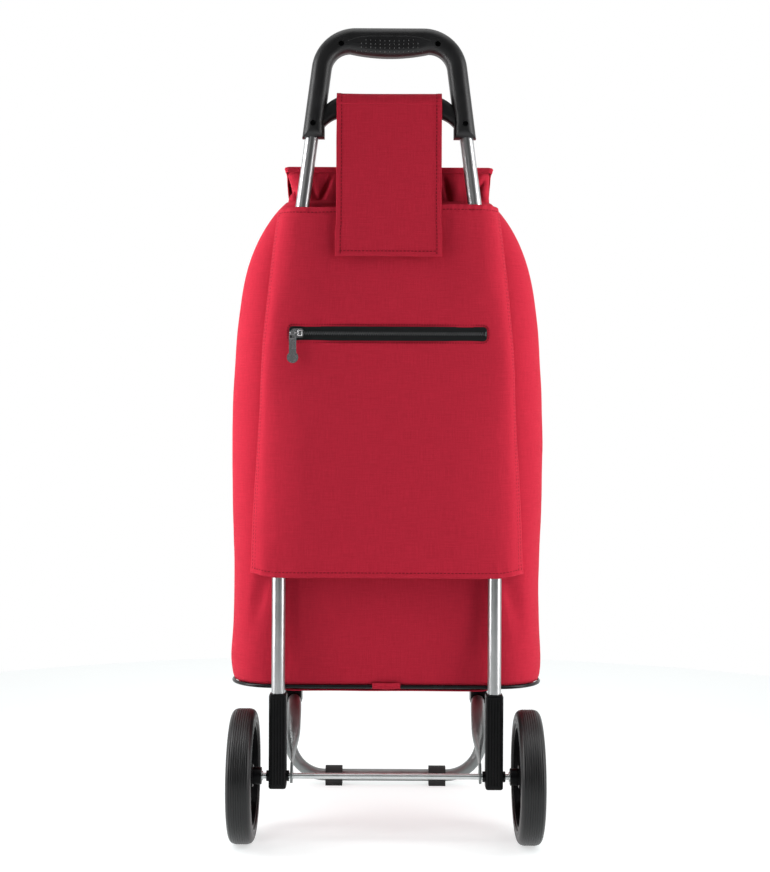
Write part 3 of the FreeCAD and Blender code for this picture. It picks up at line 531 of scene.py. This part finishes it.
def bag_back(x, z):
    """Rear face of the bag at a place, or the middle if there is none."""
    hit = BAG_SURFACE.ray_cast(Vector((x, -1.0, z)), Vector((0, 1, 0)))[0]
    return hit.y if hit is not None else BAG_MID_Y


def panel_section(z):
    """The panel's outer face at a height, middle to right seam: flat, then one curve round the upright."""
    seam_x = seam_half_width(z)
    side = tube_x(z)
    start = Vector((side * 0.45, PANEL_BACK, z))
    over = Vector((side + 8 * MM, AXLE_Y - 12.3 * MM, z))
    past = Vector((side + 22 * MM, AXLE_Y - 10 * MM, z))
    seam = Vector((seam_x, bag_back(seam_x, z) - 1.4 * MM, z))
    past.x = min(past.x, seam_x - 1 * MM)
    points = [Vector((0, PANEL_BACK, z))]
    steps = 30
    for i in range(steps + 1):
        t = i / steps
        r = 1 - t
        points.append(start * r ** 3 + over * (3 * r * r * t) + past * (3 * r * t * t) + seam * t ** 3)
    return points, running_lengths(points)


def panel_z(x, v):
    """Height of a point of the panel: its upper and lower edges are cut with a slight curve."""
    side = abs(x) / 0.15
    top = PANEL_HI.z - 2.8 * MM + 1.5 * MM * rough(x, 0, 0, 0.09, 5.0) - 1.5 * MM * bump(side, 0.62, 0.2)
    top += 3.6 * MM * smooth(0.03, 0.085, x) - 0.8 * MM * smooth(-0.05, -0.10, x)
    foot = PANEL_LO.z + 1.6 * MM + 3.5 * MM * smooth(0.86, 1.08, side)
    return foot + (top - foot) * v


PANEL_SECTIONS = [panel_section(PANEL_LO.z + (PANEL_HI.z - PANEL_LO.z) * i / PANEL_BANDS)
                  for i in range(PANEL_BANDS + 1)]


def panel_point(u, z):
    """Point on the panel's plain outer face; u from -1 to 1 by length across."""
    at = min(PANEL_BANDS - 0.001, max(0.0, (z - PANEL_LO.z) / (PANEL_HI.z - PANEL_LO.z) * PANEL_BANDS))
    row = int(at)
    found = []
    for points, lengths in (PANEL_SECTIONS[row], PANEL_SECTIONS[row + 1]):
        want = abs(u) * lengths[-1]
        k = 1
        while k < len(lengths) - 1 and lengths[k] < want:
            k += 1
        t = (want - lengths[k - 1]) / (lengths[k] - lengths[k - 1])
        found.append(points[k - 1].lerp(points[k], t))
    p = found[0].lerp(found[1], at - row)
    return Vector((math.copysign(p.x, u) if u else 0.0, p.y, z))


def panel_relief(p, u, z, edge_low, edge_high):
    """How far the fabric stands off the plain face: hems, felled side seams, pulls and slack."""
    hem = 0.45 * MM * (1 - smooth(HEM - 1.2 * MM, HEM, min(edge_low, edge_high)))
    seam = 0.55 * MM * smooth(0.915, 0.93, abs(u))
    slack = 0.5 * MM * rough(p.x, 0, z, 0.07, 1.0) + 0.9 * MM * rough(p.x * 0.5, 0, z, 0.16, 4.0)
    slack *= 1 - 0.75 * bump(z, ZIP_Z, 0.03)
    side = abs(p.x)
    pouch = smooth(0.150, 0.095 - 0.02 * (p.x > 0), side)
    crest = smooth(0.150, 0.105, side) * smooth(0.062, 0.095, side)
    fill = 6.5 * MM * pouch * smooth(0.585, 0.47, z) * smooth(0.315, 0.40, z)
    fill += 3.2 * MM * crest * smooth(0.612, 0.66, z) * smooth(0.75, 0.70, z)
    pulls = 0.9 * MM * bump(side, tube_x(z) - 0.022, 0.012) * smooth(0.34, 0.31, z)
    fan = 0.5 * MM * math.sin(side * 420 + z * 130) * smooth(0.34, 0.312, z) * smooth(0.11, 0.14, side)
    top_pucker = 0.5 * MM * math.sin(p.x * 700) * smooth(0.735, 0.75, z) * smooth(0.06, 0.09, side)
    sewn = -0.5 * MM * max(bump(abs(u), row, 0.006) for row in SEAM_ROWS)
    sewn += -0.4 * MM * bump(edge_low, 6.2 * MM, 1.1 * MM)
    return hem + seam + max(-0.25 * MM, slack) + fill + pulls + fan + top_pucker + sewn


def panel_shape(u, v):
    """The panel's finished outer face, u and v from 0 to 1."""
    across = 2 * u - 1
    near_x = panel_point(across, PANEL_LO.z + (PANEL_HI.z - PANEL_LO.z) * v).x
    z = panel_z(near_x, v)
    p = panel_point(across, z)
    low = z - panel_z(near_x, 0)
    high = panel_z(near_x, 1) - z
    centre = Vector((math.copysign(min(abs(p.x), tube_x(z)), p.x), AXLE_Y, z))
    way = p - centre
    way = way.normalized() if way.length > 1e-5 else Vector((0, -1, 0))
    off = panel_relief(p, across, z, low, high)
    return Vector((p.x, p.y, z)) + Vector((way.x, min(-0.2, way.y), 0)).normalized() * off


def make_panel():
    """The panel, its stitching and its flat width, which is measured a third of the way up."""
    panel = grid("rear_panel_cloth", PANEL_ROWS, PANEL_COLUMNS, panel_shape)
    thicken(panel, 1.1 * MM)
    finish_piece(panel, "frame", RED, "red_fabric", "rear_panel")
    width = 2 * PANEL_SECTIONS[PANEL_BANDS // 3][1][-1]
    rows = []
    for side in (-1, 1):
        for u in SEAM_ROWS:
            line = [panel_shape((1 + side * u) / 2, i / 80) for i in range(1, 80)]
            rows.append((line, Vector((side, -1, 0)).normalized()))
    for v in (0.014, 0.986):
        line = [panel_shape(0.5 + 0.485 * (2 * i / 90 - 1), v) for i in range(91)]
        rows.append((line, REARWARD))
    thread = stitches("panel_stitching", rows)
    finish_piece(thread, "frame", THREAD_PAINTED_SHADE, "red_fabric")
    return panel, thread, width


# ---------------------------------------------------------------- hanging tab
TAB_LO, TAB_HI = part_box("hang_tab_fixed")
FLAP_LO, FLAP_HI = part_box("hang_tab_flap")
TAB_FOOT = FLAP_LO.z - 2.2 * MM
TAB_HALF = FLAP_HI.x
TAB_R = (TAB_HI.y - TAB_LO.y) / 2 - 0.1 * MM
CROSS_Z = TAB_HI.z - TAB_R - 0.1 * MM


def tab_path():
    """Side view of the tab, from its seam on the bag up over the crossbar and down the rear."""
    points = [Vector((0, AXLE_Y + TAB_R, TAB_LO.z)), Vector((0, AXLE_Y + TAB_R, CROSS_Z))]
    steps = 24
    for i in range(1, steps):
        a = math.pi * i / steps
        points.append(Vector((0, AXLE_Y + TAB_R * math.cos(a), CROSS_Z + TAB_R * math.sin(a))))
    hang = 40
    for i in range(hang + 1):
        t = i / hang
        inward = 0.1 * MM * smooth(0.15, 0.9, t)
        points.append(Vector((0, AXLE_Y - TAB_R + inward, CROSS_Z + (TAB_FOOT - CROSS_Z) * t)))
    return points


TAB_STEP = 1.5 * MM
TAB_PATH = walk(tab_path(), TAB_STEP)
TAB_LENGTH = TAB_STEP * (len(TAB_PATH) - 1)
TAB_FOLD = round((CROSS_Z - TAB_LO.z + math.pi * TAB_R) / TAB_STEP) / (len(TAB_PATH) - 1)


def tab_shape(u, v):
    """The tab's outer face along its path, with hems, a slight wave and sunk stitch lines."""
    at = min(len(TAB_PATH) - 1.001, v * (len(TAB_PATH) - 1))
    k = int(at)
    p = TAB_PATH[k].lerp(TAB_PATH[k + 1], at - k)
    way = (TAB_PATH[k + 1] - TAB_PATH[k]).normalized()
    normal = Vector((0, way.z, -way.y))
    across = 2 * u - 1
    from_end = (1 - v) * TAB_LENGTH
    spread = 0.9 * MM * smooth(36 * MM, 33 * MM, from_end)
    half = TAB_HALF - 0.5 * MM + spread + 0.3 * MM * rough(v * 9, across, 0, 1.0)
    x = across * half
    edge = half - abs(x)
    hem = 0.4 * MM * (1 - smooth(6.2 * MM, 7.4 * MM, min(edge, from_end)))
    wave = 0.5 * MM * rough(x, 0, v * TAB_LENGTH, 0.05, 2.0) * smooth(0.03, 0.12, v * TAB_LENGTH)
    sewn = -0.35 * MM * max(bump(edge, 6.0 * MM, 0.9 * MM), bump(from_end, 6.0 * MM, 0.9 * MM))
    return Vector((x, p.y, p.z)) + normal * (hem + max(-0.2 * MM, wave) + sewn)


def tab_piece(name, v0, v1):
    rows = round((v1 - v0) * (len(TAB_PATH) - 1))
    piece = grid(name, rows, 124, lambda u, v: tab_shape(u, v0 + (v1 - v0) * v))
    return thicken(piece, 1.1 * MM, 1.0)


def tab_hem_rows(v0, v1, inset):
    """Stitch lines down both sides of the tab between two places of its length."""
    rows = []
    for side in (-1, 1):
        u = 0.5 + side * 0.5 * (1 - inset / TAB_HALF)
        line = [tab_shape(u, v0 + (v1 - v0) * i / 120) for i in range(121)]
        rows.append((line, Vector((0, -1, 0.2)).normalized()))
    return rows


def make_tab():
    """The tab in two joined pieces: over the crossbar, and the free end hanging from just behind it."""
    inset = 6.0 * MM
    over = tab_piece("hanging_tab_over", 0.0, TAB_FOLD)
    finish_piece(over, "frame", RED, "red_fabric", "hang_tab_fixed")
    over_thread = stitches("tab_stitching_over", tab_hem_rows(0.0, TAB_FOLD, inset))
    finish_piece(over_thread, "frame", THREAD_PAINTED_SHADE, "red_fabric")
    flap = tab_piece("hanging_tab_flap", TAB_FOLD, 1.0)
    finish_piece(flap, None, RED, "red_fabric", "hang_tab_flap")
    rows = tab_hem_rows(TAB_FOLD, 1.0, inset)
    v_hem = 1 - inset / TAB_LENGTH
    rows.append(([tab_shape(0.04 + 0.92 * i / 60, v_hem) for i in range(61)], REARWARD))
    flap_thread = stitches("tab_stitching_flap", rows)
    finish_piece(flap_thread, None, THREAD_PAINTED_SHADE, "red_fabric")
    for piece in (flap, flap_thread):
        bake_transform(piece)
    return over, over_thread, flap, flap_thread


def make_pad(name, node, body, facing):
    """A touch-fastener pad with a rough pile; facing is -1 towards the rear, 1 towards the front."""
    lo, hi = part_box(node)
    face = lo.y if facing < 0 else hi.y

    def place(u, v):
        x = lo.x + (hi.x - lo.x) * u
        z = lo.z + (hi.z - lo.z) * v
        edge = min(u, 1 - u, v, 1 - v)
        pile = 0.25 * MM * smooth(0, 0.04, edge) * (0.6 + 0.4 * rough(x, 0, z, 1.5 * MM, 3.0))
        return Vector((x, face - facing * 0.3 * MM + facing * pile, z))

    pad = grid(name, 40, 60, place)
    thicken(pad, 0.45 * MM, facing)
    return finish_piece(pad, body, FUZZ, "velcro", node)


# ---------------------------------------------------------------- collar and lid
LID_LO, LID_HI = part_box("lid")
COLLAR_LO, COLLAR_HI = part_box("bag_collar")


def rounded_loop(share, half_w, y0, y1, radius, rear_radius=None):
    """A point on a rounded rectangle by length, from the middle of the rear edge, and its outward way."""
    rear = radius if rear_radius is None else rear_radius
    side = y1 - y0 - rear - radius
    right, front = Vector((1, 0, 0)), Vector((0, 1, 0))
    legs = [(2 * (half_w - rear), Vector((rear - half_w, y0, 0)), right, -front, rear),
            (side, Vector((half_w, y0 + rear, 0)), front, right, radius),
            (2 * (half_w - radius), Vector((half_w - radius, y1, 0)), -right, front, radius),
            (side, Vector((-half_w, y1 - radius, 0)), -front, -right, rear)]
    total = sum(leg[0] for leg in legs) + math.pi * (rear + radius)
    s = ((share % 1.0) * total + legs[0][0] / 2) % total
    for length, start, way, out, turn in legs:
        if s <= length:
            return start + way * s, out
        s -= length
        arc = math.pi / 2 * turn
        if s <= arc:
            a = s / turn
            turned = out * math.cos(a) + way * math.sin(a)
            return start + way * length - out * turn + turned * turn, turned
        s -= arc
    return legs[0][1], legs[0][3]


# Folds of the collar's rear face: x and z of each one's middle, its lean, then its width and depth in mm.
COLLAR_FOLDS = ((-0.1130, 0.764, -1.10, 3.6, 3.6), (-0.0860, 0.762, -0.50, 3.0, 1.6),
                (-0.0715, 0.778, 0.46, 3.2, 2.6), (0.0675, 0.778, -0.22, 2.6, 2.4),
                (0.1085, 0.764, -0.50, 3.4, 2.6), (0.1130, 0.781, 0.63, 3.4, 4.0))


def collar_point(u, v):
    """The collar's outer face: gathers all round, then the folds, puffs and drawn-in left end of its rear."""
    z = COLLAR_LO.z - 3 * MM + (COLLAR_HI.z - COLLAR_LO.z + 2 * MM) * v
    half = COLLAR_HI.x - 0.2 * MM
    p, out = rounded_loop(u, half, COLLAR_LO.y + 0.8 * MM, COLLAR_HI.y - 0.8 * MM, 30 * MM, 12 * MM)
    rear = smooth(BAG_MID_Y, BAG_LO.y + 0.02, p.y)
    wave = math.sin(TAU * u * 46 + 2.2 * rough(u * 30, v, 0, 1.0)) * (0.9 - 0.6 * rear) * MM
    fold = 0.0
    for x, mid, lean, wide, deep in COLLAR_FOLDS:
        fold -= deep * MM * bump(p.x - x - lean * (z - mid), 0, wide * MM) * rear
    puff = 1.4 * MM * rear * bump(p.x, 0.0815, 0.009) + 1.6 * MM * rear * bump(p.x, -0.101, 0.008)
    off = (wave + fold + puff) * math.sin(math.pi * min(1.0, 0.12 + 0.88 * v))
    off -= 1.0 * MM * math.sin(math.pi * v)
    waist = 4.4 * MM * bump(v, 0.50, 0.24) * smooth(-0.085, -0.118, p.x) * rear
    return Vector((p.x + waist, p.y, z)) + out * off


def make_collar():
    """Gathered collar between the bag's neck and the lid, with folds at its rear corners."""
    collar = grid("gathered_collar", 44, 480, collar_point, closed=True)
    thicken(collar, 1.1 * MM)
    return finish_piece(collar, "frame", RED, "red_fabric", "bag_collar")


LID_HALF = LID_HI.x - 3.5 * MM
LID_TOP_SHARE = 0.62


def lid_shape(u, v):
    """The lid: a slightly crowned top, a turned edge, then a soft skirt on three sides."""
    y0, y1 = LID_LO.y, LID_HI.y - 0.5 * MM
    centre = Vector((0, (y0 + y1) / 2, 0))
    rim, out = rounded_loop(u, LID_HALF, y0, y1, 30 * MM, 2.5 * MM)
    open_rear = smooth(y0 + 35 * MM, y0 + 120 * MM, rim.y)
    top = LID_HI.z - 0.6 * MM
    if v <= LID_TOP_SHARE:
        t = v / LID_TOP_SHARE
        crown = -0.9 * MM * (1 - t * t) + 0.9 * MM * rough(rim.x * t, rim.y * t, 0, 0.06, 8.0) * (1 - t ** 6)
        round_off = 0.9 * MM * smooth(0.975, 1.0, t)
        p = centre + (rim - centre) * t
        return Vector((p.x, p.y, top - round_off + crown * (1 - bump(t, 1, 0.03))))
    t = (v - LID_TOP_SHARE) / (1 - LID_TOP_SHARE)
    drop = 0.9 * MM + (LID_HI.z - LID_LO.z - 2.4 * MM) * t * (0.17 + 0.83 * open_rear)
    swing = 0.9 * MM * smooth(0, 0.15, t) - 2.4 * MM * t * (1 - smooth(y0 + 20 * MM, y0 + 60 * MM, rim.y))
    wave = 1.1 * MM * t * math.sin(u * TAU * 13 + 1.0) * open_rear
    return Vector((rim.x, rim.y, top - drop)) + out * (wave * 0.6 + swing * smooth(y0, y0 + 3 * MM, rim.y))


def make_lid():
    """The lid's cloth, sewn to the collar along its rear edge, and its stitching."""
    lid = grid("lid_cloth", 110, 420, lid_shape, closed=True)
    thicken(lid, 1.2 * MM)
    finish_piece(lid, None, RED, "red_fabric", "lid")
    rows = []
    for v in (0.655, 0.965):
        line = [lid_shape(0.16 + 0.68 * i / 300, v) for i in range(301)]
        rows.append((line, Vector((0, 0.4, 0.6)).normalized()))
    thread = stitches("lid_stitching", rows)
    finish_piece(thread, "lid", THREAD_PAINTED_SHADE, "red_fabric")
    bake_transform(lid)
    return lid, thread


def front_y(surface, z):
    """Where the middle of a surface's front face is at a height."""
    return surface.ray_cast(Vector((0, 1.0, z)), REARWARD)[0].y


def make_strap():
    """Webbing strap sewn on the front of the lid."""
    lo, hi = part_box("lid_strap")
    surface = node_surface("lid_strap")

    def place(u, v):
        z = hi.z - 0.5 * MM + (lo.z - hi.z + 1 * MM) * v
        x = lo.x + (hi.x - lo.x) * u
        rib = 0.12 * MM * math.sin(x * TAU / (2.4 * MM))
        return Vector((x, front_y(surface, z) - 0.2 * MM + rib, z))

    strap = grid("lid_strap_webbing", 70, 80, place)
    thicken(strap, 1.4 * MM)
    return finish_piece(strap, "lid", WEBBING, "red_fabric", "lid_strap")


def make_strap_patch():
    """The pad on the bag that the strap's end closes on."""
    lo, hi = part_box("lid_strap_patch")
    surface = node_surface("lid_strap_patch")

    def place(u, v):
        z = lo.z + 0.3 * MM + (hi.z - lo.z - 0.6 * MM) * v
        pile = 0.15 * MM * rough(u, v, 0, 0.04)
        return Vector((lo.x + (hi.x - lo.x) * u, front_y(surface, z) - 0.1 * MM + pile, z))

    patch = grid("lid_strap_pad", 24, 50, place)
    thicken(patch, 0.6 * MM)
    return finish_piece(patch, "frame", FUZZ, "velcro", "lid_strap_patch")


def make_bottom_tab():
    """Folded loop of fabric over the piping at the middle of the rear edge."""
    lo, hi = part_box("bottom_tab")
    path = [Vector((0, hi.y + 5 * MM, lo.z + 0.6 * MM)), Vector((0, hi.y - 0.4 * MM, lo.z)),
            Vector((0, lo.y, lo.z + 2.5 * MM)), Vector((0, lo.y - 0.2 * MM, (lo.z + hi.z) / 2)),
            Vector((0, lo.y + 1.2 * MM, hi.z))]
    fine = walk(path, 0.5 * MM)

    def place(u, v):
        at = min(len(fine) - 1.001, v * (len(fine) - 1))
        p = fine[int(at)].lerp(fine[int(at) + 1], at - int(at))
        return Vector((lo.x + (hi.x - lo.x) * u, p.y, p.z + 0.2 * MM * math.sin(u * 9)))

    tab = grid("bottom_loop", 24, 34, place)
    soften = tab.modifiers.new("soft", "SMOOTH")
    soften.iterations = 6
    bake_modifiers(tab)
    thicken(tab, 0.9 * MM)
    return finish_piece(tab, "frame", RED, "red_fabric", "bottom_tab")


def make_lining():
    """Back wall of the pocket behind the zip."""
    lo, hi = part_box("pocket_lining")

    def place(u, v):
        x = lo.x + (hi.x - lo.x) * u
        z = lo.z + (hi.z - lo.z) * v
        return Vector((x, lo.y + 1.2 * MM + 0.8 * MM * rough(x, 0, z, 0.05, 6.0), z))

    lining = grid("pocket_cloth", 60, 60, place)
    thicken(lining, 0.5 * MM)
    return finish_piece(lining, "frame", RED_LINING, "lining_fabric", "pocket_lining")


# ---------------------------------------------------------------- zip
COIL_LO, COIL_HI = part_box("zip_coil")
TOOTH_PITCH = 1.35 * MM


def make_zip():
    """Zip tape with rounded ends, a coil of small teeth and the stitching round it."""
    half_w, half_h = ZIP_HI.x, ZIP_HI.z - ZIP_Z
    corner = 4 * MM

    def place(u, v):
        q, _ = rounded_loop(u, half_w, -half_h, half_h, corner)
        edge = (1 - v) * half_h
        rib = 0.12 * MM * math.sin(q.y * v / (1.6 * MM) * TAU)
        lift = 0.55 * MM * smooth(0, 1.2 * MM, edge) + rib
        rise = 0.5 * MM * bump(q.y * v, 0, 2.6 * MM)
        return Vector((q.x * (v * 0.06 + 0.94) if v < 1 else q.x, ZIP_HI.y - lift - rise, ZIP_Z + q.y * v))

    tape = grid("zip_tape_cloth", 16, 420, place, closed=True)
    thicken(tape, 0.4 * MM)
    finish_piece(tape, "frame", ZIP_TAPE, "zip_black", "zip_tape")
    parts = []
    y = COIL_HI.y - 0.2 * MM
    for i in range(int((COIL_HI.x - COIL_LO.x) / TOOTH_PITCH)):
        x = COIL_LO.x + TOOTH_PITCH * (i + 0.5)
        side = 1 if i % 2 else -1
        start = Vector((x - 0.25 * MM, y, ZIP_Z - side * 0.6 * MM))
        end = Vector((x + 0.25 * MM, y, ZIP_Z + side * 2.1 * MM))
        parts.append(capsule(start, end, REARWARD, 0.52 * MM, 0.62 * MM, rings=4, sides=7))
    coil = joined("zip_teeth", parts)
    finish_piece(coil, "frame", COIL, "zip_coil", "zip_coil")
    grow = 2.2 * MM                       # the stitching runs this far outside the tape
    line = []
    for i in range(401):
        q, _ = rounded_loop(i / 400, half_w + grow, -half_h - grow, half_h + grow, corner + grow)
        line.append(Vector((q.x, PANEL_BACK - 0.35 * MM, ZIP_Z + q.y)))
    thread = stitches("zip_stitching", [(line, REARWARD)], length=2.0 * MM, gap=1.0 * MM)
    finish_piece(thread, "frame", THREAD_PAINTED_SHADE, "red_fabric")
    return tape, coil, thread


# ---------------------------------------------------------------- wheels
TYRE_BORE = 62 * MM
TYRE_SHOULDER = 8 * MM                    # radius of the tread's rounded edges
TYRE_RIBS = 7


def make_tyre(side):
    """Tyre with fine ribs round the tread, rounded shoulders and a bead line on each wall."""
    hand = "right" if side > 0 else "left"
    lo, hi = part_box("tyre_" + hand)
    inner = min(abs(lo.x), abs(hi.x))
    outer = max(abs(lo.x), abs(hi.x))
    bore, shoulder = TYRE_BORE, TYRE_SHOULDER
    profile = [(inner + 0.5 * MM, bore), (inner, bore + 0.5 * MM), (inner, bore + 4 * MM),
               (inner + 0.6 * MM, bore + 4.6 * MM), (inner + 0.6 * MM, bore + 5.4 * MM), (inner, bore + 6 * MM)]
    steps = 10
    for i in range(steps - 2):
        a = math.pi / 2 * i / steps
        profile.append((inner + shoulder * (1 - math.cos(a)), WHEEL_R - shoulder * (1 - math.sin(a))))
    width = outer - inner - 2 * shoulder + 6 * MM
    count = TYRE_RIBS * 8
    for i in range(count + 1):
        t = i / count
        depth = 0.75 * MM * max(0.0, math.cos(TAU * (t * TYRE_RIBS))) ** 3
        x = inner + shoulder - 3 * MM + width * t
        end = min(t, 1 - t) * width
        profile.append((x, WHEEL_R - 0.6 * MM * smooth(3 * MM, 0, end) - depth))
    for i in range(3, steps + 1):
        a = math.pi / 2 * (1 - i / steps)
        profile.append((outer - shoulder * (1 - math.cos(a)), WHEEL_R - shoulder * (1 - math.sin(a))))
    profile += [(outer, bore + 6 * MM), (outer - 0.6 * MM, bore + 5.4 * MM), (outer - 0.6 * MM, bore + 4.6 * MM),
                (outer, bore + 4 * MM), (outer, bore + 0.5 * MM), (outer - 0.5 * MM, bore)]
    if side < 0:
        profile = [(-x, r) for x, r in reversed(profile)]
    tyre = lathe("tyre_ribbed_" + hand, profile, 160, AXLE)
    return finish_piece(tyre, "wheel_" + hand, TYRE, "tyre", "tyre_" + hand)


# ---------------------------------------------------------------- handle grip
PIP_REACH = (5, 6, 6, 7, 4)               # pips each side of the middle, row by row downwards
PIP_COLUMN = 5.5 * MM
PIP_SIDE = Vector((0.35 * MM, 0, 0))
BEAD_HALF = 48                            # mm from the grip's middle to the bead's ends


def make_grip():
    """Raised pips on both faces of the grip bar, and the bead that borders them."""
    pips = []
    beads = []
    for face, node in ((-1, "handle_rear_shell"), (1, "handle_front_shell")):
        surface = node_surface(node)
        way = Vector((0, -face, 0))

        def on_face(x, z):
            return surface.ray_cast(Vector((x, face * 1.0, z)), way)

        for row, reach in enumerate(PIP_REACH):
            for column in range(-reach, reach + 1):
                x = column * PIP_COLUMN
                z = CAD_BOX[1].z - (15.6 + 1.6 * bump(x, 0, 0.03) + row * 4.1) * MM
                hit, normal, _, _ = on_face(x, z)
                if hit is None or abs(hit.y - AXLE_Y) < 5 * MM:
                    continue
                pips.append(capsule(hit - PIP_SIDE, hit + PIP_SIDE, normal, 0.95 * MM, 0.9 * MM, rings=4))
        line = [on_face(x * MM, CAD_BOX[1].z - (11.6 + 5.5 * (x / BEAD_HALF) ** 4) * MM)[0]
                for x in range(-BEAD_HALF, BEAD_HALF + 1, 2)]
        line = [hit for hit in line if hit is not None]
        for a, b in zip(line, line[1:]):
            past = (b - a) * 0.2
            beads.append(capsule(a - past, b + past, -way, 0.6 * MM, 0.4 * MM))
    # The pips take the lighter plastic: painted highlight.
    finish_piece(joined("grip_pips_painted_highlight", pips), "frame", PIP_PAINTED_HIGHLIGHT, "handle_plastic")
    finish_piece(joined("grip_bead", beads), "frame", GRIP, "handle_plastic")


# ---------------------------------------------------------------- finishes of the CAD pieces
FINISHES = {
    TUBE: ["frame_tube_right", "frame_tube_left"],
    STAND: ["stand_tube"],
    GRIP: ["handle_rear_shell", "handle_front_shell", "handle_crossbar"],
    BLACK: ["leg_sleeve_right", "leg_sleeve_left", "axle_spacers", "saddle_rear_right", "saddle_rear_left",
            "saddle_front_right", "saddle_front_left", "wheel_rim_right", "wheel_rim_left",
            "hub_cap_right", "hub_cap_left"],
    STEEL: ["axle", "axle_washers", "axle_push_nuts"],
    SCREW: ["handle_screws", "saddle_screws"],
    RUBBER: ["foot_right", "foot_left"],
    BOARD: ["base_board"],
    GLOSS: ["bottom_piping"],
    NICKEL: ["zip_stops", "zip_slider", "zip_puller"],
}
for material, names in FINISHES.items():
    for name in names:
        mesh = NODES[name].data
        mesh.materials.clear()
        mesh.materials.append(material)

bag = make_bag()
underside = make_underside()
panel, panel_thread, panel_width = make_panel()
tab_over, over_thread, tab_flap, flap_thread = make_tab()
loop_pad = make_pad("tab_loop_pad", "velcro_loop", "frame", -1)
hook_pad = make_pad("tab_hook_pad", "velcro_hook", "hang_flap", 1)
collar = make_collar()
lid, lid_thread = make_lid()
strap = make_strap()
strap_pad = make_strap_patch()
bottom_loop = make_bottom_tab()
lining = make_lining()
tape, coil, tape_thread = make_zip()
for wheel_side in (-1, 1):
    make_tyre(wheel_side)
make_grip()


# ---------------------------------------------------------------- stage, light and camera
def make_floor():
    """A round pale floor, lit a little from within so it stays white behind the object."""
    radius, sides = 1.35, 96
    ring = [(radius * math.cos(TAU * k / sides), radius * math.sin(TAU * k / sides), 0) for k in range(sides)]
    floor = mesh_object("studio_floor", ring, [tuple(range(sides))], flat=True)
    material, _, _, shader = new_material("studio_floor")
    shader.inputs["Base Color"].default_value = (0.505, 0.545, 0.545, 1)
    shader.inputs["Roughness"].default_value = 0.9
    shader.inputs["Specular IOR Level"].default_value = 0.05
    shader.inputs["Emission Color"].default_value = (1, 1, 1, 1)
    shader.inputs["Emission Strength"].default_value = 0.60
    floor.data.materials.append(material)


def make_world():
    """Bright beyond the object and dim behind the camera: a white background and unwashed colours."""
    world = bpy.data.worlds.new("studio")
    bpy.context.scene.world = world
    world.use_nodes = True
    nodes, links = world.node_tree.nodes, world.node_tree.links
    way = nodes.new("ShaderNodeTexCoord").outputs["Generated"]
    split = nodes.new("ShaderNodeSeparateXYZ")
    links.new(way, split.inputs[0])
    spread = nodes.new("ShaderNodeMapRange")
    links.new(split.outputs["Y"], spread.inputs["Value"])
    spread.inputs["From Min"].default_value = -0.9
    spread.inputs["From Max"].default_value = 0.35
    greys = [(place, (grey, grey, grey)) for place, grey in ((0.0, 0.03), (0.62, 0.17), (1.0, 1.0))]
    colour = ramp(nodes, links, spread.outputs["Result"], greys)
    links.new(colour, nodes["Background"].inputs["Color"])
    nodes["Background"].inputs["Strength"].default_value = 1.0


def area_light(name, place, target, size, power):
    data = bpy.data.lights.new(name, "AREA")
    data.shape = "RECTANGLE"
    data.size, data.size_y = size
    data.energy = power
    light = bpy.data.objects.new(name, data)
    light.location = place
    light.rotation_euler = (Vector(target) - Vector(place)).to_track_quat("-Z", "Y").to_euler()
    bpy.context.scene.collection.objects.link(light)


def make_camera():
    data = bpy.data.cameras.new("camera")
    data.sensor_width = 36.0
    data.lens = 60.4
    camera = bpy.data.objects.new("camera", data)
    camera.location = (-0.0030, AXLE_Y - 1.72, 0.478)
    camera.rotation_euler = (math.radians(90), math.radians(-0.3), 0)
    bpy.context.scene.collection.objects.link(camera)
    bpy.context.scene.camera = camera


make_floor()
make_world()
area_light("left_box", (-0.72, -0.24, 0.66), (-0.05, -0.1, 0.5), (0.3, 1.1), 8.2)
area_light("right_box", (0.64, -0.29, 0.62), (0.05, -0.1, 0.5), (0.3, 1.1), 5.8)
area_light("front_strip", (-0.75, -2.1, 0.7), (0, 0, 0.5), (0.25, 1.5), 1.6)
area_light("top_box", (0, -0.2, 2.2), (0, 0, 0.5), (1.6, 1.2), 11)
make_camera()
bpy.context.scene.view_settings.view_transform = "Standard"
